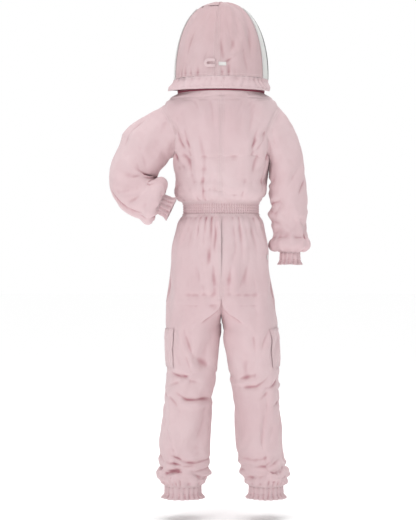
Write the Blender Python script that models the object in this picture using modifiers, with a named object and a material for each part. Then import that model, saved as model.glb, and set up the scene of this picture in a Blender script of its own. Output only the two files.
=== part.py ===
"""A hooded beekeeping suit in the shape it has when worn: one arm hangs, one hand is on the hip.

Units are metres and +Z is up.  The origin is on the shoulder line at the middle of the neck, the
front faces -Y and the wearer's left is +X.  Cloth is modelled as closed shells, split where the
suit is seamed or flexes, with a small gap between neighbours.
"""
import math
from dataclasses import dataclass

import bmesh
import bpy
from mathutils import Matrix, Vector

# ---- Driving dimensions, in metres ---------------------------------------------------------------
CLOTH = 0.0030              # wall of a cotton shell, with its hems and seams
MESH_WALL = 0.0020          # wall of the stiff veil mesh
GAP = 0.0004                # between neighbouring pieces
SEWN_ON = 0.0025            # stand-off of a piece that lies on a curved panel
ARMHOLE_STAND_OFF = 0.0065  # stand-off of the sleeve's eased edge from the bodice

NECK_RADIUS = 0.150         # the neck zip is a level circle
NECK_RISE = 0.040           # zip line above the shoulder line
COLLAR_DROP = 0.028         # zip line to the collar's lower seam
HOOD_HEIGHT = 0.308         # zip line to crown
HOOD_RADIUS = 0.163
HOOD_TURN = math.radians(-6)        # the face looks a little to the wearer's right
PINK_HALF_ANGLE = math.radians(66)     # cotton on each side of the hood's back seam
SIDE_PANEL_ANGLE = math.radians(20)    # white panel between cotton and mesh
HOOD_BAND_HEIGHT = 0.030
CROWN_SHARE = 0.93          # share of the hood's height at which the crown starts
PIPING_SHARES = (0.02, 0.86)
PIPING_RADIUS = 0.0020
HANG_LOOP_RADIUS = 0.0035
LABEL_SIZE = (0.024, 0.0010, 0.012)

COLLAR_HALF_WIDTH = 0.178
SHOULDER_HALF_WIDTH = 0.205
CHEST_HALF_WIDTH = 0.187
RIB_HALF_WIDTH = 0.160
BLOUSE_HALF_WIDTH = 0.146
WAIST_HALF_WIDTH = 0.129
HIP_HALF_WIDTH = 0.177
SEAT_HALF_WIDTH = 0.200
FRONT_DEPTH = 0.148         # the centre front hangs plumb, so the zip is straight
BACK_DEPTH = 0.142
WAIST_BACK_DEPTH = 0.088
SEAT_BACK_DEPTH = 0.132

BODICE_LENGTH = 0.345       # shoulder line to waistband
WAISTBAND_HEIGHT = 0.038
RISE = 0.350                # waistband to crotch
LEG_LENGTH = 0.581          # crotch to the ankle cuff
ANKLE_CUFF_HEIGHT = 0.044

ARMHOLE_HALF_HEIGHT = 0.095
ARMHOLE_HALF_DEPTH = 0.088
ARMHOLE_HEM = 0.009         # sleeve edge outside the cut armhole
AKIMBO_HALF_WIDTHS = (0.088, 0.076)     # at the shoulder and below the elbow
HANGING_HALF_WIDTHS = (0.058, 0.062)
CUFF_HALF_WIDTH = 0.034
CUFF_LENGTH = 0.044
ELBOW_RADIUS = 0.080        # bend of the akimbo sleeve's centre line

ZIP_LENGTH = 0.555          # front zip, from just under the throat flap
ZIP_SLOT = 0.011            # half-width of the opening that the zip fills
COIL_HALF_WIDTH = 0.0030
TAPE_THICKNESS = 0.0012
SLIDER_SIZE = (0.009, 0.0042, 0.011)
PULL_SIZE = (0.006, 0.0014, 0.026)
STOP_SIZE = (2 * COIL_HALF_WIDTH, 0.0030, 0.0090)
NECK_SLIDER_START = math.radians(22)   # from centre front, towards the wearer's left

FLAP_SIZE = (0.062, 0.038)
POCKET_SIZE = (0.100, 0.120)
POCKET_FLAP_DROP = 0.040
THIGH_POCKET_HALF_ANGLE = math.radians(46)
THIGH_POCKET_HEIGHT = 0.150

# ---- Heights worked out from the dimensions above -------------------------------------------------
NECK_ZIP_Z = NECK_RISE
HOOD_TOP_Z = NECK_RISE + HOOD_HEIGHT
COLLAR_BASE_Z = NECK_RISE - COLLAR_DROP
TAPE_REACH = 0.0085         # neck tape's outer edge from the zip line
HOOD_BAND_BASE_Z = NECK_ZIP_Z + TAPE_REACH + 0.0005
HOOD_BASE_Z = HOOD_BAND_BASE_Z + HOOD_BAND_HEIGHT
HOOD_PIVOT = Vector((0, NECK_RADIUS, NECK_ZIP_Z + 0.003))
BODICE_BASE_Z = -BODICE_LENGTH
WAISTBAND_BASE_Z = BODICE_BASE_Z - WAISTBAND_HEIGHT
CROTCH_Z = WAISTBAND_BASE_Z - RISE
SEAT_BASE_Z = CROTCH_Z + 0.063
HEM_Z = CROTCH_Z - LEG_LENGTH - ANKLE_CUFF_HEIGHT
HIP_AXIS_Z = CROTCH_Z + 0.013
ARMHOLE_Z = -ARMHOLE_HALF_HEIGHT + 0.004
SHOULDER_Z = -ARMHOLE_HALF_HEIGHT * 0.472   # the upper body keeps its height when the bodice grows
CHEST_Z = -ARMHOLE_HALF_HEIGHT * 1.38
RIB_Z = -ARMHOLE_HALF_HEIGHT * 2.3242
ZIP_FRONT_Y = -FRONT_DEPTH - 0.0030
FLAP_TOP_Z = NECK_ZIP_Z - 0.010
FRONT_ZIP_TOP_Z = FLAP_TOP_Z - FLAP_SIZE[1] + 0.006

RING_POINTS = 20            # round a limb
NECK_POINTS = 36            # round the neck bands
QUARTER_POINTS = 7          # steps in a quarter of the body's girth
HOOD_STEP = math.radians(14)

# Colour, roughness and metallic value of each material.
FINISHES = {
    "pink_cotton": ((0.68, 0.51, 0.53), 0.85, 0.0),
    "white_cotton": ((0.78, 0.78, 0.76), 0.85, 0.0),
    "white_piping": ((0.85, 0.85, 0.84), 0.70, 0.0),
    "veil_mesh": ((0.03, 0.03, 0.03), 0.60, 0.0),
    "zip_tape": ((0.45, 0.12, 0.18), 0.80, 0.0),
    "zip_coil": ((0.62, 0.40, 0.44), 0.45, 0.0),
    "zip_metal": ((0.70, 0.68, 0.64), 0.35, 1.0),
}

LEG_TOP_SHARE = 0.065       # shares of the leg's length, from the crotch down
KNEE_TOP_SHARE = 0.31
KNEE_SHARE = 0.41
KNEE_BASE_SHARE = 0.51

LEFT = 1
RIGHT = -1
SIDE_NAMES = {LEFT: "left", RIGHT: "right"}


# ---- Sections -----------------------------------------------------------------------------------
@dataclass(frozen=True)
class BodySection:
    """A level section of the body: half its width, and how far it reaches forwards and back."""
    z: float
    half_width: float
    front: float
    back: float

    def point(self, angle: float, inset: float = 0.0) -> Vector:
        """Point at an angle from centre back, towards the wearer's left."""
        middle = (self.back - self.front) / 2
        half_depth = (self.back + self.front) / 2 - inset
        x = (self.half_width - inset) * math.sin(angle)
        return Vector((x, middle + half_depth * math.cos(angle), self.z))


@dataclass(frozen=True)
class Ring:
    """A limb's section: an ellipse about `centre`, spanned by `across` and the Y axis."""
    centre: Vector
    across: Vector
    half_width: float
    half_depth: float

    @property
    def normal(self) -> Vector:
        """Direction of the limb's centre line, downwards where `across` points to +X."""
        return self.across.cross(Vector((0, 1, 0))) * -1

    def point(self, angle: float, inset: float = 0.0) -> Vector:
        """Point at an angle from `across`."""
        wide = (self.half_width - inset) * math.cos(angle)
        deep = (self.half_depth - inset) * math.sin(angle)
        return self.centre + self.across * wide + Vector((0, deep, 0))

    def moved(self, distance: float) -> "Ring":
        """The same section further along the limb."""
        centre = self.centre + self.normal * distance
        return Ring(centre, self.across, self.half_width, self.half_depth)


BODICE_SECTIONS = [
    BodySection(COLLAR_BASE_Z - GAP, COLLAR_HALF_WIDTH, FRONT_DEPTH, BACK_DEPTH),
    BodySection(-0.006, SHOULDER_HALF_WIDTH - 0.004, FRONT_DEPTH, BACK_DEPTH),
    BodySection(SHOULDER_Z, SHOULDER_HALF_WIDTH, FRONT_DEPTH, BACK_DEPTH + 0.002),
    BodySection(CHEST_Z, CHEST_HALF_WIDTH, FRONT_DEPTH, BACK_DEPTH),
    BodySection(RIB_Z, RIB_HALF_WIDTH, FRONT_DEPTH, BACK_DEPTH - 0.008),
    BodySection(-BODICE_LENGTH * 0.84, BLOUSE_HALF_WIDTH, FRONT_DEPTH, BACK_DEPTH - 0.024),
    BodySection(BODICE_BASE_Z, WAIST_HALF_WIDTH + 0.004, FRONT_DEPTH, WAIST_BACK_DEPTH + 0.006),
]
WAIST_SECTIONS = [
    BodySection(BODICE_BASE_Z - GAP, WAIST_HALF_WIDTH, FRONT_DEPTH, WAIST_BACK_DEPTH),
    BodySection(WAISTBAND_BASE_Z + GAP, WAIST_HALF_WIDTH, FRONT_DEPTH, WAIST_BACK_DEPTH),
]
SEAT_SECTIONS = [
    BodySection(WAISTBAND_BASE_Z, WAIST_HALF_WIDTH + 0.004, FRONT_DEPTH, WAIST_BACK_DEPTH + 0.005),
    BodySection(WAISTBAND_BASE_Z - RISE * 0.10, HIP_HALF_WIDTH - 0.022, FRONT_DEPTH, 0.108),
    BodySection(WAISTBAND_BASE_Z - RISE * 0.27, HIP_HALF_WIDTH, FRONT_DEPTH, 0.122),
    BodySection(WAISTBAND_BASE_Z - RISE * 0.52, HIP_HALF_WIDTH + 0.004, FRONT_DEPTH, SEAT_BACK_DEPTH),
    BodySection(SEAT_BASE_Z + GAP, SEAT_HALF_WIDTH, FRONT_DEPTH, SEAT_BACK_DEPTH - 0.004),
]


def body_half_width(sections: list[BodySection], z: float) -> BodySection:
    """The section at height z, drawn straight between the two that bracket it."""
    for upper, lower in zip(sections, sections[1:]):
        if z >= lower.z:
            break
    share = min(max((upper.z - z) / (upper.z - lower.z), 0.0), 1.0)
    mix = [a + (b - a) * share for a, b in (
        (upper.half_width, lower.half_width), (upper.front, lower.front), (upper.back, lower.back))]
    return BodySection(z, *mix)


def side_surface(y: float, z: float) -> float:
    """Half-width of the bodice at a depth and height."""
    section = body_half_width(BODICE_SECTIONS, z)
    middle = (section.back - section.front) / 2
    half_depth = (section.back + section.front) / 2
    reach = 1 - ((y - middle) / half_depth) ** 2
    return section.half_width * math.sqrt(max(reach, 0.0))


# ---- Making objects -------------------------------------------------------------------------------
def make_collection(name: str) -> bpy.types.Collection:
    """Add a collection to the scene."""
    collection = bpy.data.collections.new(name)
    bpy.context.scene.collection.children.link(collection)
    return collection


def make_material(name: str) -> bpy.types.Material:
    """Make the Principled material of that name."""
    colour, roughness, metallic = FINISHES[name]
    material = bpy.data.materials.new(name)
    material.use_nodes = True
    shader = material.node_tree.nodes["Principled BSDF"]
    shader.inputs["Base Color"].default_value = (*colour, 1.0)
    shader.inputs["Roughness"].default_value = roughness
    shader.inputs["Metallic"].default_value = metallic
    material.diffuse_color = (*colour, 1.0)
    return material


def add_object(name: str, data: bpy.types.ID, material: str, pivot: Vector | None = None):
    """Put mesh or curve data in the suit's collection, with its origin on a joint's axis if given."""
    obj = bpy.data.objects.new(name, data)
    PARTS.objects.link(obj)
    data.materials.append(MATERIALS[material])
    if pivot is not None:
        data.transform(Matrix.Translation(-pivot))
        obj.location = pivot
    return obj


def loft_shell(name: str, outer: list, inner: list, material: str, closed: bool = True,
               pivot: Vector | None = None):
    """Close the space between an outer and an inner grid of points into one solid wall.

    Each grid is a list of rows.  A closed grid wraps round, like a sleeve; an open one is a panel.
    """
    mesh = bmesh.new()
    out = [[mesh.verts.new(p) for p in row] for row in outer]
    inn = [[mesh.verts.new(p) for p in row] for row in inner]
    columns = len(outer[0])
    spans = [(c, (c + 1) % columns) for c in range(columns if closed else columns - 1)]
    for r in range(len(outer) - 1):
        for c, d in spans:
            mesh.faces.new((out[r][c], out[r][d], out[r + 1][d], out[r + 1][c]))
            mesh.faces.new((inn[r][d], inn[r][c], inn[r + 1][c], inn[r + 1][d]))
        if not closed:
            for c in (0, columns - 1):
                mesh.faces.new((out[r][c], out[r + 1][c], inn[r + 1][c], inn[r][c]))
    for r in (0, -1):
        for c, d in spans:
            mesh.faces.new((out[r][c], out[r][d], inn[r][d], inn[r][c]))
    bmesh.ops.recalc_face_normals(mesh, faces=mesh.faces)
    data = bpy.data.meshes.new(name)
    mesh.to_mesh(data)
    mesh.free()
    data.shade_smooth()
    data.set_sharp_from_angle(angle=math.radians(40))
    return add_object(name, data, material, pivot)


def add_box(name: str, size: tuple, centre: tuple, material: str, pivot: Vector | None = None,
            turn: float = 0.0, bevel: float = 0.0):
    """A block from a cube primitive, turned about +Z and with rounded edges if asked."""
    mesh = bmesh.new()
    bmesh.ops.create_cube(mesh, size=1.0)
    bmesh.ops.scale(mesh, vec=size, verts=mesh.verts)
    bmesh.ops.rotate(mesh, matrix=Matrix.Rotation(turn, 3, "Z"), verts=mesh.verts)
    bmesh.ops.translate(mesh, vec=centre, verts=mesh.verts)
    data = bpy.data.meshes.new(name)
    mesh.to_mesh(data)
    mesh.free()
    obj = add_object(name, data, material, pivot)
    if bevel:
        edge = obj.modifiers.new("rounded", "BEVEL")
        edge.width = bevel
        edge.segments = 1
    return obj


def body_panel(name: str, sections: list, side: int, start: float, end: float | None,
               material: str = "pink_cotton", steps: int = QUARTER_POINTS, wall: float = CLOTH,
               stand_off: float = 0.0):
    """A panel of the body's wall between two angles from centre back.

    Args:
        side: LEFT or RIGHT; the right panel is the left one mirrored.
        start: first angle; zero begins half a gap from the centre-back seam.
        end: last angle, or None to end at the front zip's slot.
        stand_off: distance of the panel's inner face outside the body's surface.
    """
    outer, inner = [], []
    for section in sections:
        first = math.asin(GAP / 2 / section.half_width) if start == 0 else start
        last = end if end is not None else math.pi - math.asin(ZIP_SLOT / section.half_width)
        angles = [first + (last - first) * i / steps for i in range(steps + 1)]
        lift = -(stand_off + wall) if stand_off else 0.0
        outer.append([mirrored(section.point(a, lift), side) for a in angles])
        inner.append([mirrored(section.point(a, lift + wall), side) for a in angles])
        for row in (outer[-1], inner[-1]):
            if start == 0:
                row[0].x = side * GAP / 2
            if end is None:
                row[-1].x = side * ZIP_SLOT
    return loft_shell(name, outer, inner, material, closed=False)


def mirrored(point: Vector, side: int) -> Vector:
    """The point on the wearer's left or right."""
    return Vector((point.x * side, point.y, point.z))


def limb_section(name: str, rings: list[Ring], pivot: Vector | None = None):
    """A length of sleeve or leg through the given rings, half a gap short at each end."""
    trimmed = [rings[0].moved(GAP / 2), *rings[1:-1], rings[-1].moved(-GAP / 2)]
    angles = [2 * math.pi * i / RING_POINTS for i in range(RING_POINTS)]
    outer = [[ring.point(a) for a in angles] for ring in trimmed]
    inner = [[ring.point(a, CLOTH) for a in angles] for ring in trimmed]
    return loft_shell(name, outer, inner, "pink_cotton", pivot=pivot)


def level_ring(name: str, radius: float, wall: float, low: float, high: float, material: str,
               top_radius: float | None = None, pivot: Vector | None = None):
    """A round band about the neck's axis."""
    angles = [2 * math.pi * i / NECK_POINTS for i in range(NECK_POINTS)]
    rows = ((high, top_radius or radius), (low, radius))
    outer = [[Vector((r * math.sin(a), r * math.cos(a), z)) for a in angles] for z, r in rows]
    inner = [[Vector(((r - wall) * math.sin(a), (r - wall) * math.cos(a), z)) for a in angles]
             for z, r in rows]
    return loft_shell(name, outer, inner, material, pivot=pivot)


def make_cutter(name: str, centre: Vector, half_height: float, half_depth: float, length: float):
    """An elliptical bar along X that cuts an armhole."""
    mesh = bmesh.new()
    bmesh.ops.create_cone(mesh, cap_ends=True, segments=24, radius1=1, radius2=1, depth=length)
    bmesh.ops.rotate(mesh, matrix=Matrix.Rotation(math.pi / 2, 3, "Y"), verts=mesh.verts)
    bmesh.ops.scale(mesh, vec=(1, half_depth, half_height), verts=mesh.verts)
    data = bpy.data.meshes.new(name)
    mesh.to_mesh(data)
    mesh.free()
    cutter = bpy.data.objects.new(name, data)
    cutter.location = centre
    cutter.hide_render = True
    cutter.display_type = "WIRE"
    CUTTERS.objects.link(cutter)
    return cutter


# ---- Hood -----------------------------------------------------------------------------------------
def hood_radius(share: float) -> float:
    """Radius at a share of the hood's height: full at the shoulders, rounding in to the crown."""
    return HOOD_RADIUS * (1 - share ** 2.2) ** (1 / 2.4)


def hood_panel(name: str, start: float, end: float, low: float, high: float, material: str,
               wall: float, pivot: Vector):
    """A sector of the hood between two angles from its back seam and two shares of its height."""
    steps = max(2, round((end - start) / HOOD_STEP))
    rows = 7
    outer, inner = [], []
    for r in range(rows + 1):
        share = high * (1 - r / rows) + low * r / rows
        radius = hood_radius(share)
        z = HOOD_BASE_Z + (HOOD_TOP_Z - HOOD_BASE_Z) * share
        trim = GAP / 2 / radius
        angles = [start + trim + (end - start - 2 * trim) * i / steps for i in range(steps + 1)]
        turned = [a + HOOD_TURN for a in angles]
        outer.append([Vector((-radius * math.sin(a), radius * math.cos(a), z)) for a in turned])
        inner.append([Vector((-(radius - wall) * math.sin(a), (radius - wall) * math.cos(a), z))
                      for a in turned])
    return loft_shell(name, outer, inner, material, closed=False, pivot=pivot)


def hood_point(angle: float, share: float, lift: float = 0.0) -> Vector:
    """Point on the hood at an angle from its back seam, lifted off the surface."""
    radius = hood_radius(share) + lift
    turned = angle + HOOD_TURN
    z = HOOD_BASE_Z + (HOOD_TOP_Z - HOOD_BASE_Z) * share
    return Vector((-radius * math.sin(turned), radius * math.cos(turned), z))


def make_tube(name: str, points: list, radius: float, material: str, pivot: Vector):
    """A round cord through the points, with closed ends."""
    curve = bpy.data.curves.new(name, "CURVE")
    curve.dimensions = "3D"
    curve.bevel_depth = radius
    curve.bevel_resolution = 1
    curve.use_fill_caps = True
    spline = curve.splines.new("POLY")
    spline.points.add(len(points) - 1)
    for target, point in zip(spline.points, points):
        target.co = (*(point - pivot), 1.0)
    obj = bpy.data.objects.new(name, curve)
    obj.location = pivot
    curve.materials.append(MATERIALS[material])
    PARTS.objects.link(obj)
    return obj


def build_hood() -> None:
    """Cotton back, white side panels, mesh face, crown, band, piping, hang loop and label."""
    pink, white = PINK_HALF_ANGLE, PINK_HALF_ANGLE + SIDE_PANEL_ANGLE
    hood_panel("hood_panel_right", 0, pink, 0, CROWN_SHARE, "pink_cotton", CLOTH, HOOD_PIVOT)
    hood_panel("hood_panel_left", -pink, 0, 0, CROWN_SHARE, "pink_cotton", CLOTH, HOOD_PIVOT)
    hood_panel("hood_side_right", pink, white, 0, CROWN_SHARE, "white_cotton", CLOTH, HOOD_PIVOT)
    hood_panel("hood_side_left", -white, -pink, 0, CROWN_SHARE, "white_cotton", CLOTH, HOOD_PIVOT)
    hood_panel("veil_mesh", white, 2 * math.pi - white, 0, CROWN_SHARE, "veil_mesh", MESH_WALL,
               HOOD_PIVOT)
    build_crown()
    level_ring("hood_band", NECK_RADIUS, CLOTH, HOOD_BAND_BASE_Z, HOOD_BASE_Z - GAP, "pink_cotton",
               top_radius=HOOD_RADIUS, pivot=HOOD_PIVOT)
    low, high = PIPING_SHARES
    shares = [low + (high - low) * i / 11 for i in range(12)]
    for side in (LEFT, RIGHT):
        path = [hood_point(-side * pink, s, 0.0034) for s in shares]
        make_tube(f"veil_piping_{SIDE_NAMES[side]}", path, PIPING_RADIUS, "white_piping", HOOD_PIVOT)
    loop = [hood_point(math.radians(a), 0.16 + d, 0.0045 + o) for a, d, o in (
        (-1.5, 0.028, 0.0), (-9.0, 0.030, 0.004), (-12.5, 0.0, 0.005), (-9.0, -0.032, 0.004),
        (-1.5, -0.030, 0.0))]
    make_tube("hood_hang_loop", loop, HANG_LOOP_RADIUS, "pink_cotton", HOOD_PIVOT)
    label = hood_point(math.radians(7), 0.155, 0.0022)
    add_box("hood_label", LABEL_SIZE, label, "white_cotton", HOOD_PIVOT,
            turn=HOOD_TURN + math.radians(7))


def build_crown() -> None:
    """The cap that closes the top of the hood: a turned profile."""
    height = HOOD_TOP_Z - HOOD_BASE_Z
    outer = [(hood_radius(s), HOOD_BASE_Z + height * s) for s in (0.99, 0.97, CROWN_SHARE)]
    low_radius, low_z = outer[-1]
    outline = [(0.0, HOOD_TOP_Z), *outer[:-1], (low_radius, low_z + GAP),
               (low_radius - CLOTH, low_z + GAP), (outer[1][0] - CLOTH, outer[1][1] - CLOTH),
               (0.0, HOOD_TOP_Z - CLOTH * 1.5)]
    data = bpy.data.meshes.new("hood_crown")
    verts = [(r - HOOD_PIVOT.x, -HOOD_PIVOT.y, z - HOOD_PIVOT.z) for r, z in outline]
    data.from_pydata(verts, [(i, i + 1) for i in range(len(verts) - 1)], [])
    crown = add_object("hood_crown", data, "pink_cotton")
    crown.location = HOOD_PIVOT
    axis = bpy.data.objects.new("crown_axis", None)
    axis.location = (0, 0, HOOD_TOP_Z)
    CUTTERS.objects.link(axis)
    turn = crown.modifiers.new("turned", "SCREW")
    turn.object = axis
    turn.steps = turn.render_steps = 30
    turn.use_merge_vertices = True
    turn.merge_threshold = 0.00001
    turn.use_smooth_shade = True


# ---- Neck and front zips --------------------------------------------------------------------------
def build_neck_zip() -> None:
    """Hood tape, coil and collar tape as level bands, with the slider and its pull outside them."""
    pivot = Vector((0, 0, NECK_ZIP_Z))
    coil = COIL_HALF_WIDTH
    level_ring("neck_zip_collar_tape", NECK_RADIUS - GAP, TAPE_THICKNESS, NECK_ZIP_Z - TAPE_REACH,
               NECK_ZIP_Z - coil - GAP, "zip_tape")
    level_ring("neck_zip_coil", NECK_RADIUS, 0.0022, NECK_ZIP_Z - coil, NECK_ZIP_Z + coil, "zip_coil")
    level_ring("neck_zip_hood_tape", NECK_RADIUS - GAP, TAPE_THICKNESS, NECK_ZIP_Z + coil + GAP,
               NECK_ZIP_Z + TAPE_REACH, "zip_tape", pivot=HOOD_PIVOT)
    width, depth, height = SLIDER_SIZE
    reach = NECK_RADIUS + 0.0008 + depth / 2
    turn = NECK_SLIDER_START
    centre = (reach * math.sin(turn), -reach * math.cos(turn), NECK_ZIP_Z)
    add_box("neck_zip_slider", (height, depth, width), centre, "zip_metal", pivot, turn, 0.0008)
    pull_turn = turn + (height + PULL_SIZE[2] + 0.002) / 2 / reach
    pull_centre = (reach * math.sin(pull_turn), -reach * math.cos(pull_turn), NECK_ZIP_Z)
    hinge_turn = turn + (height / 2 + 0.0006) / reach
    hinge = Vector((reach * math.sin(hinge_turn), -reach * math.cos(hinge_turn), NECK_ZIP_Z))
    add_box("neck_zip_pull", (PULL_SIZE[2], PULL_SIZE[1], PULL_SIZE[0]), pull_centre, "zip_metal",
            hinge, pull_turn, 0.0004)


def build_front_zip() -> None:
    """Two tapes with the coil between them, the slider at the top, its pull, and the bottom stop."""
    top = FRONT_ZIP_TOP_Z
    bottom = top - ZIP_LENGTH
    middle, length = (top + bottom) / 2, top - bottom
    tape_width = ZIP_SLOT - COIL_HALF_WIDTH - 2 * GAP
    for side in (LEFT, RIGHT):
        x = side * (COIL_HALF_WIDTH + GAP + tape_width / 2)
        add_box(f"front_zip_tape_{SIDE_NAMES[side]}", (tape_width, TAPE_THICKNESS, length),
                (x, ZIP_FRONT_Y + 0.0020, middle), "zip_tape")
    add_box("front_zip_coil", (2 * COIL_HALF_WIDTH, 0.0022, length - 0.010),
            (0, ZIP_FRONT_Y + 0.0016, middle + 0.005), "zip_coil")
    add_box("front_zip_stop", STOP_SIZE, (0, ZIP_FRONT_Y + 0.0016, bottom + 0.0048), "zip_metal",
            bevel=0.0006)
    width, depth, height = SLIDER_SIZE
    slider_z = top - 0.012
    y = ZIP_FRONT_Y - depth / 2
    add_box("front_zip_slider", SLIDER_SIZE, (0, y, slider_z), "zip_metal", Vector((0, y, slider_z)),
            bevel=0.0008)
    hinge = Vector((0, y, slider_z - height / 2 - 0.0006))
    add_box("front_zip_pull", PULL_SIZE, (0, y, hinge.z - 0.0004 - PULL_SIZE[2] / 2), "zip_metal",
            hinge, bevel=0.0004)


def build_throat_flap() -> None:
    """A flap over the meeting of the zips: its sewn edge turns in to the bodice beside the zip."""
    width, height = FLAP_SIZE
    sewn_x = -width / 2
    foot_y = ZIP_FRONT_Y - 0.0010
    face_y = ZIP_FRONT_Y - SLIDER_SIZE[1] - 0.0030
    wall = 0.0020
    outline = [(sewn_x, foot_y), (sewn_x, face_y - wall), (sewn_x + width, face_y - wall),
               (sewn_x + width, face_y), (sewn_x + wall, face_y), (sewn_x + wall, foot_y)]
    pivot = Vector((sewn_x + wall / 2, foot_y, FLAP_TOP_Z - height / 2))
    curve = bpy.data.curves.new("throat_flap", "CURVE")
    curve.dimensions = "2D"
    curve.fill_mode = "BOTH"
    curve.extrude = height / 2
    spline = curve.splines.new("POLY")
    spline.points.add(len(outline) - 1)
    for target, (x, y) in zip(spline.points, outline):
        target.co = (x - pivot.x, y - pivot.y, 0, 1)
    spline.use_cyclic_u = True
    flap = bpy.data.objects.new("throat_flap", curve)
    flap.location = pivot
    curve.materials.append(MATERIALS["pink_cotton"])
    PARTS.objects.link(flap)


# ---- Bodice ---------------------------------------------------------------------------------------
def build_collar() -> None:
    """A standing band from the neck zip out to the bodice, open at the front for the zip."""
    steps = 4 * QUARTER_POINTS
    outer, inner = [], []
    top = BodySection(NECK_ZIP_Z - 0.0090, NECK_RADIUS, NECK_RADIUS, NECK_RADIUS)
    base = BodySection(COLLAR_BASE_Z, COLLAR_HALF_WIDTH, FRONT_DEPTH, BACK_DEPTH)
    for section in (top, base):
        end = math.pi - math.asin(ZIP_SLOT / section.half_width)
        angles = [-end + 2 * end * i / steps for i in range(steps + 1)]
        outer.append([section.point(a) for a in angles])
        inner.append([section.point(a, CLOTH) for a in angles])
        for row in (outer[-1], inner[-1]):
            row[0].x = -ZIP_SLOT
            row[-1].x = ZIP_SLOT
    loft_shell("collar", outer, inner, "pink_cotton", closed=False)


def build_bodice() -> None:
    """Four panels with the armholes cut through their side seams, and the chest pocket."""
    for side in (LEFT, RIGHT):
        word = SIDE_NAMES[side]
        seam = GAP / 2 / SHOULDER_HALF_WIDTH
        back = body_panel(f"bodice_back_{word}", BODICE_SECTIONS, side, 0, math.pi / 2 - seam)
        front = body_panel(f"bodice_front_{word}", BODICE_SECTIONS, side, math.pi / 2 + seam, None)
        cutter = make_cutter(f"armhole_{word}", Vector((side * 0.20, 0, ARMHOLE_Z)),
                             ARMHOLE_HALF_HEIGHT - ARMHOLE_HEM, ARMHOLE_HALF_DEPTH - ARMHOLE_HEM, 0.20)
        for panel in (back, front):
            cut = panel.modifiers.new("armhole", "BOOLEAN")
            cut.operation = "DIFFERENCE"
            cut.solver = "EXACT"
            cut.object = cutter


def pocket_sections(low: float, high: float, rows: int = 3) -> list[BodySection]:
    """Sections of the bodice between two heights."""
    heights = [high + (low - high) * i / rows for i in range(rows + 1)]
    return [body_half_width(BODICE_SECTIONS, z) for z in heights]


def build_chest_pocket() -> None:
    """A patch pocket on the left chest with a flap over its mouth."""
    width, height = POCKET_SIZE
    top = CHEST_Z
    chest = body_half_width(BODICE_SECTIONS, top)
    inner_x, outer_x = 0.036, 0.036 + width
    start = math.pi - math.asin(outer_x / chest.half_width)
    end = math.pi - math.asin(inner_x / chest.half_width)
    body_panel("chest_pocket", pocket_sections(top - height, top), LEFT, start, end, steps=6,
               wall=0.0015, stand_off=0.0008)
    flap_low, flap_high = top + 0.004 - POCKET_FLAP_DROP, top + 0.004
    flap = body_panel("chest_pocket_flap", pocket_sections(flap_low, flap_high, 1), LEFT, start, end,
                      steps=6, wall=0.0015, stand_off=0.0034)
    hinge = chest.point((start + end) / 2, -0.0034)
    hinge.z = flap_high
    flap.data.transform(Matrix.Translation(-hinge))
    flap.location = hinge


def build_waistband() -> None:
    """An elasticated band round the waist, open at the front for the zip."""
    steps = 4 * QUARTER_POINTS
    outer, inner = [], []
    for section in WAIST_SECTIONS:
        end = math.pi - math.asin(ZIP_SLOT / section.half_width)
        angles = [-end + 2 * end * i / steps for i in range(steps + 1)]
        outer.append([section.point(a) for a in angles])
        inner.append([section.point(a, CLOTH) for a in angles])
        for row in (outer[-1], inner[-1]):
            row[0].x = -ZIP_SLOT
            row[-1].x = ZIP_SLOT
    loft_shell("waistband", outer, inner, "pink_cotton", closed=False)


# ---- Sleeves --------------------------------------------------------------------------------------
@dataclass(frozen=True)
class ArmPath:
    """A sleeve's centre line in the XZ plane: straight, a round bend, straight again."""
    side: int
    start: Vector
    heading: float          # angle of the upper arm from straight down, outwards
    upper: float            # straight length above the bend
    bend: float             # angle turned at the elbow, inwards
    radius: float           # of the bend
    fore: float             # straight length below the bend
    drift: float            # sideways reach along Y at the cuff
    half_widths: tuple      # at the shoulder, and from the elbow down

    @property
    def length(self) -> float:
        """Length of the centre line."""
        return self.upper + self.bend * self.radius + self.fore

    def frame(self, distance: float) -> tuple[Vector, float]:
        """Point and heading at a distance along the centre line."""
        straight = min(distance, self.upper)
        turned = min(max(distance - self.upper, 0.0) / self.radius, self.bend)
        rest = max(distance - self.upper - self.bend * self.radius, 0.0)
        down = Vector((math.sin(self.heading), 0, -math.cos(self.heading)))
        inward = Vector((-math.cos(self.heading), 0, -math.sin(self.heading)))
        heading = self.heading - turned
        along = Vector((math.sin(heading), 0, -math.cos(heading)))
        point = down * straight + inward * self.radius * (1 - math.cos(turned))
        point += down * self.radius * math.sin(turned) + along * rest
        point.x *= self.side
        share = distance / self.length
        point.y += self.drift * share * share * (3 - 2 * share)
        return self.start + point, heading

    def ring(self, distance: float, half_width: float, half_depth: float) -> Ring:
        """Section of the sleeve at a distance along it."""
        centre, heading = self.frame(distance)
        across = Vector((math.cos(heading), 0, math.sin(heading) * self.side))
        return Ring(centre, across, half_width, half_depth)


AKIMBO = ArmPath(LEFT, Vector((0.263, 0.0, -0.141)), math.radians(31), 0.074, math.radians(95),
                 ELBOW_RADIUS, 0.066, 0.060, AKIMBO_HALF_WIDTHS)
HANGING = ArmPath(RIGHT, Vector((-0.230, 0.0, -0.200)), math.radians(4), 0.060, math.radians(4),
                  1.9, 0.120, -0.030, HANGING_HALF_WIDTHS)


def sleeve_width(arm: ArmPath, distance: float) -> float:
    """Half-width of a sleeve: eased from the shoulder to the elbow, then drawn in at the cuff."""
    share = distance / arm.length
    shoulder, full = arm.half_widths
    width = shoulder + (full - shoulder) * min(share / 0.35, 1.0)
    pinch = max(0.0, (share - 0.86) / 0.14)
    return width + (CUFF_HALF_WIDTH + 0.004 - width) * pinch * pinch


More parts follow.
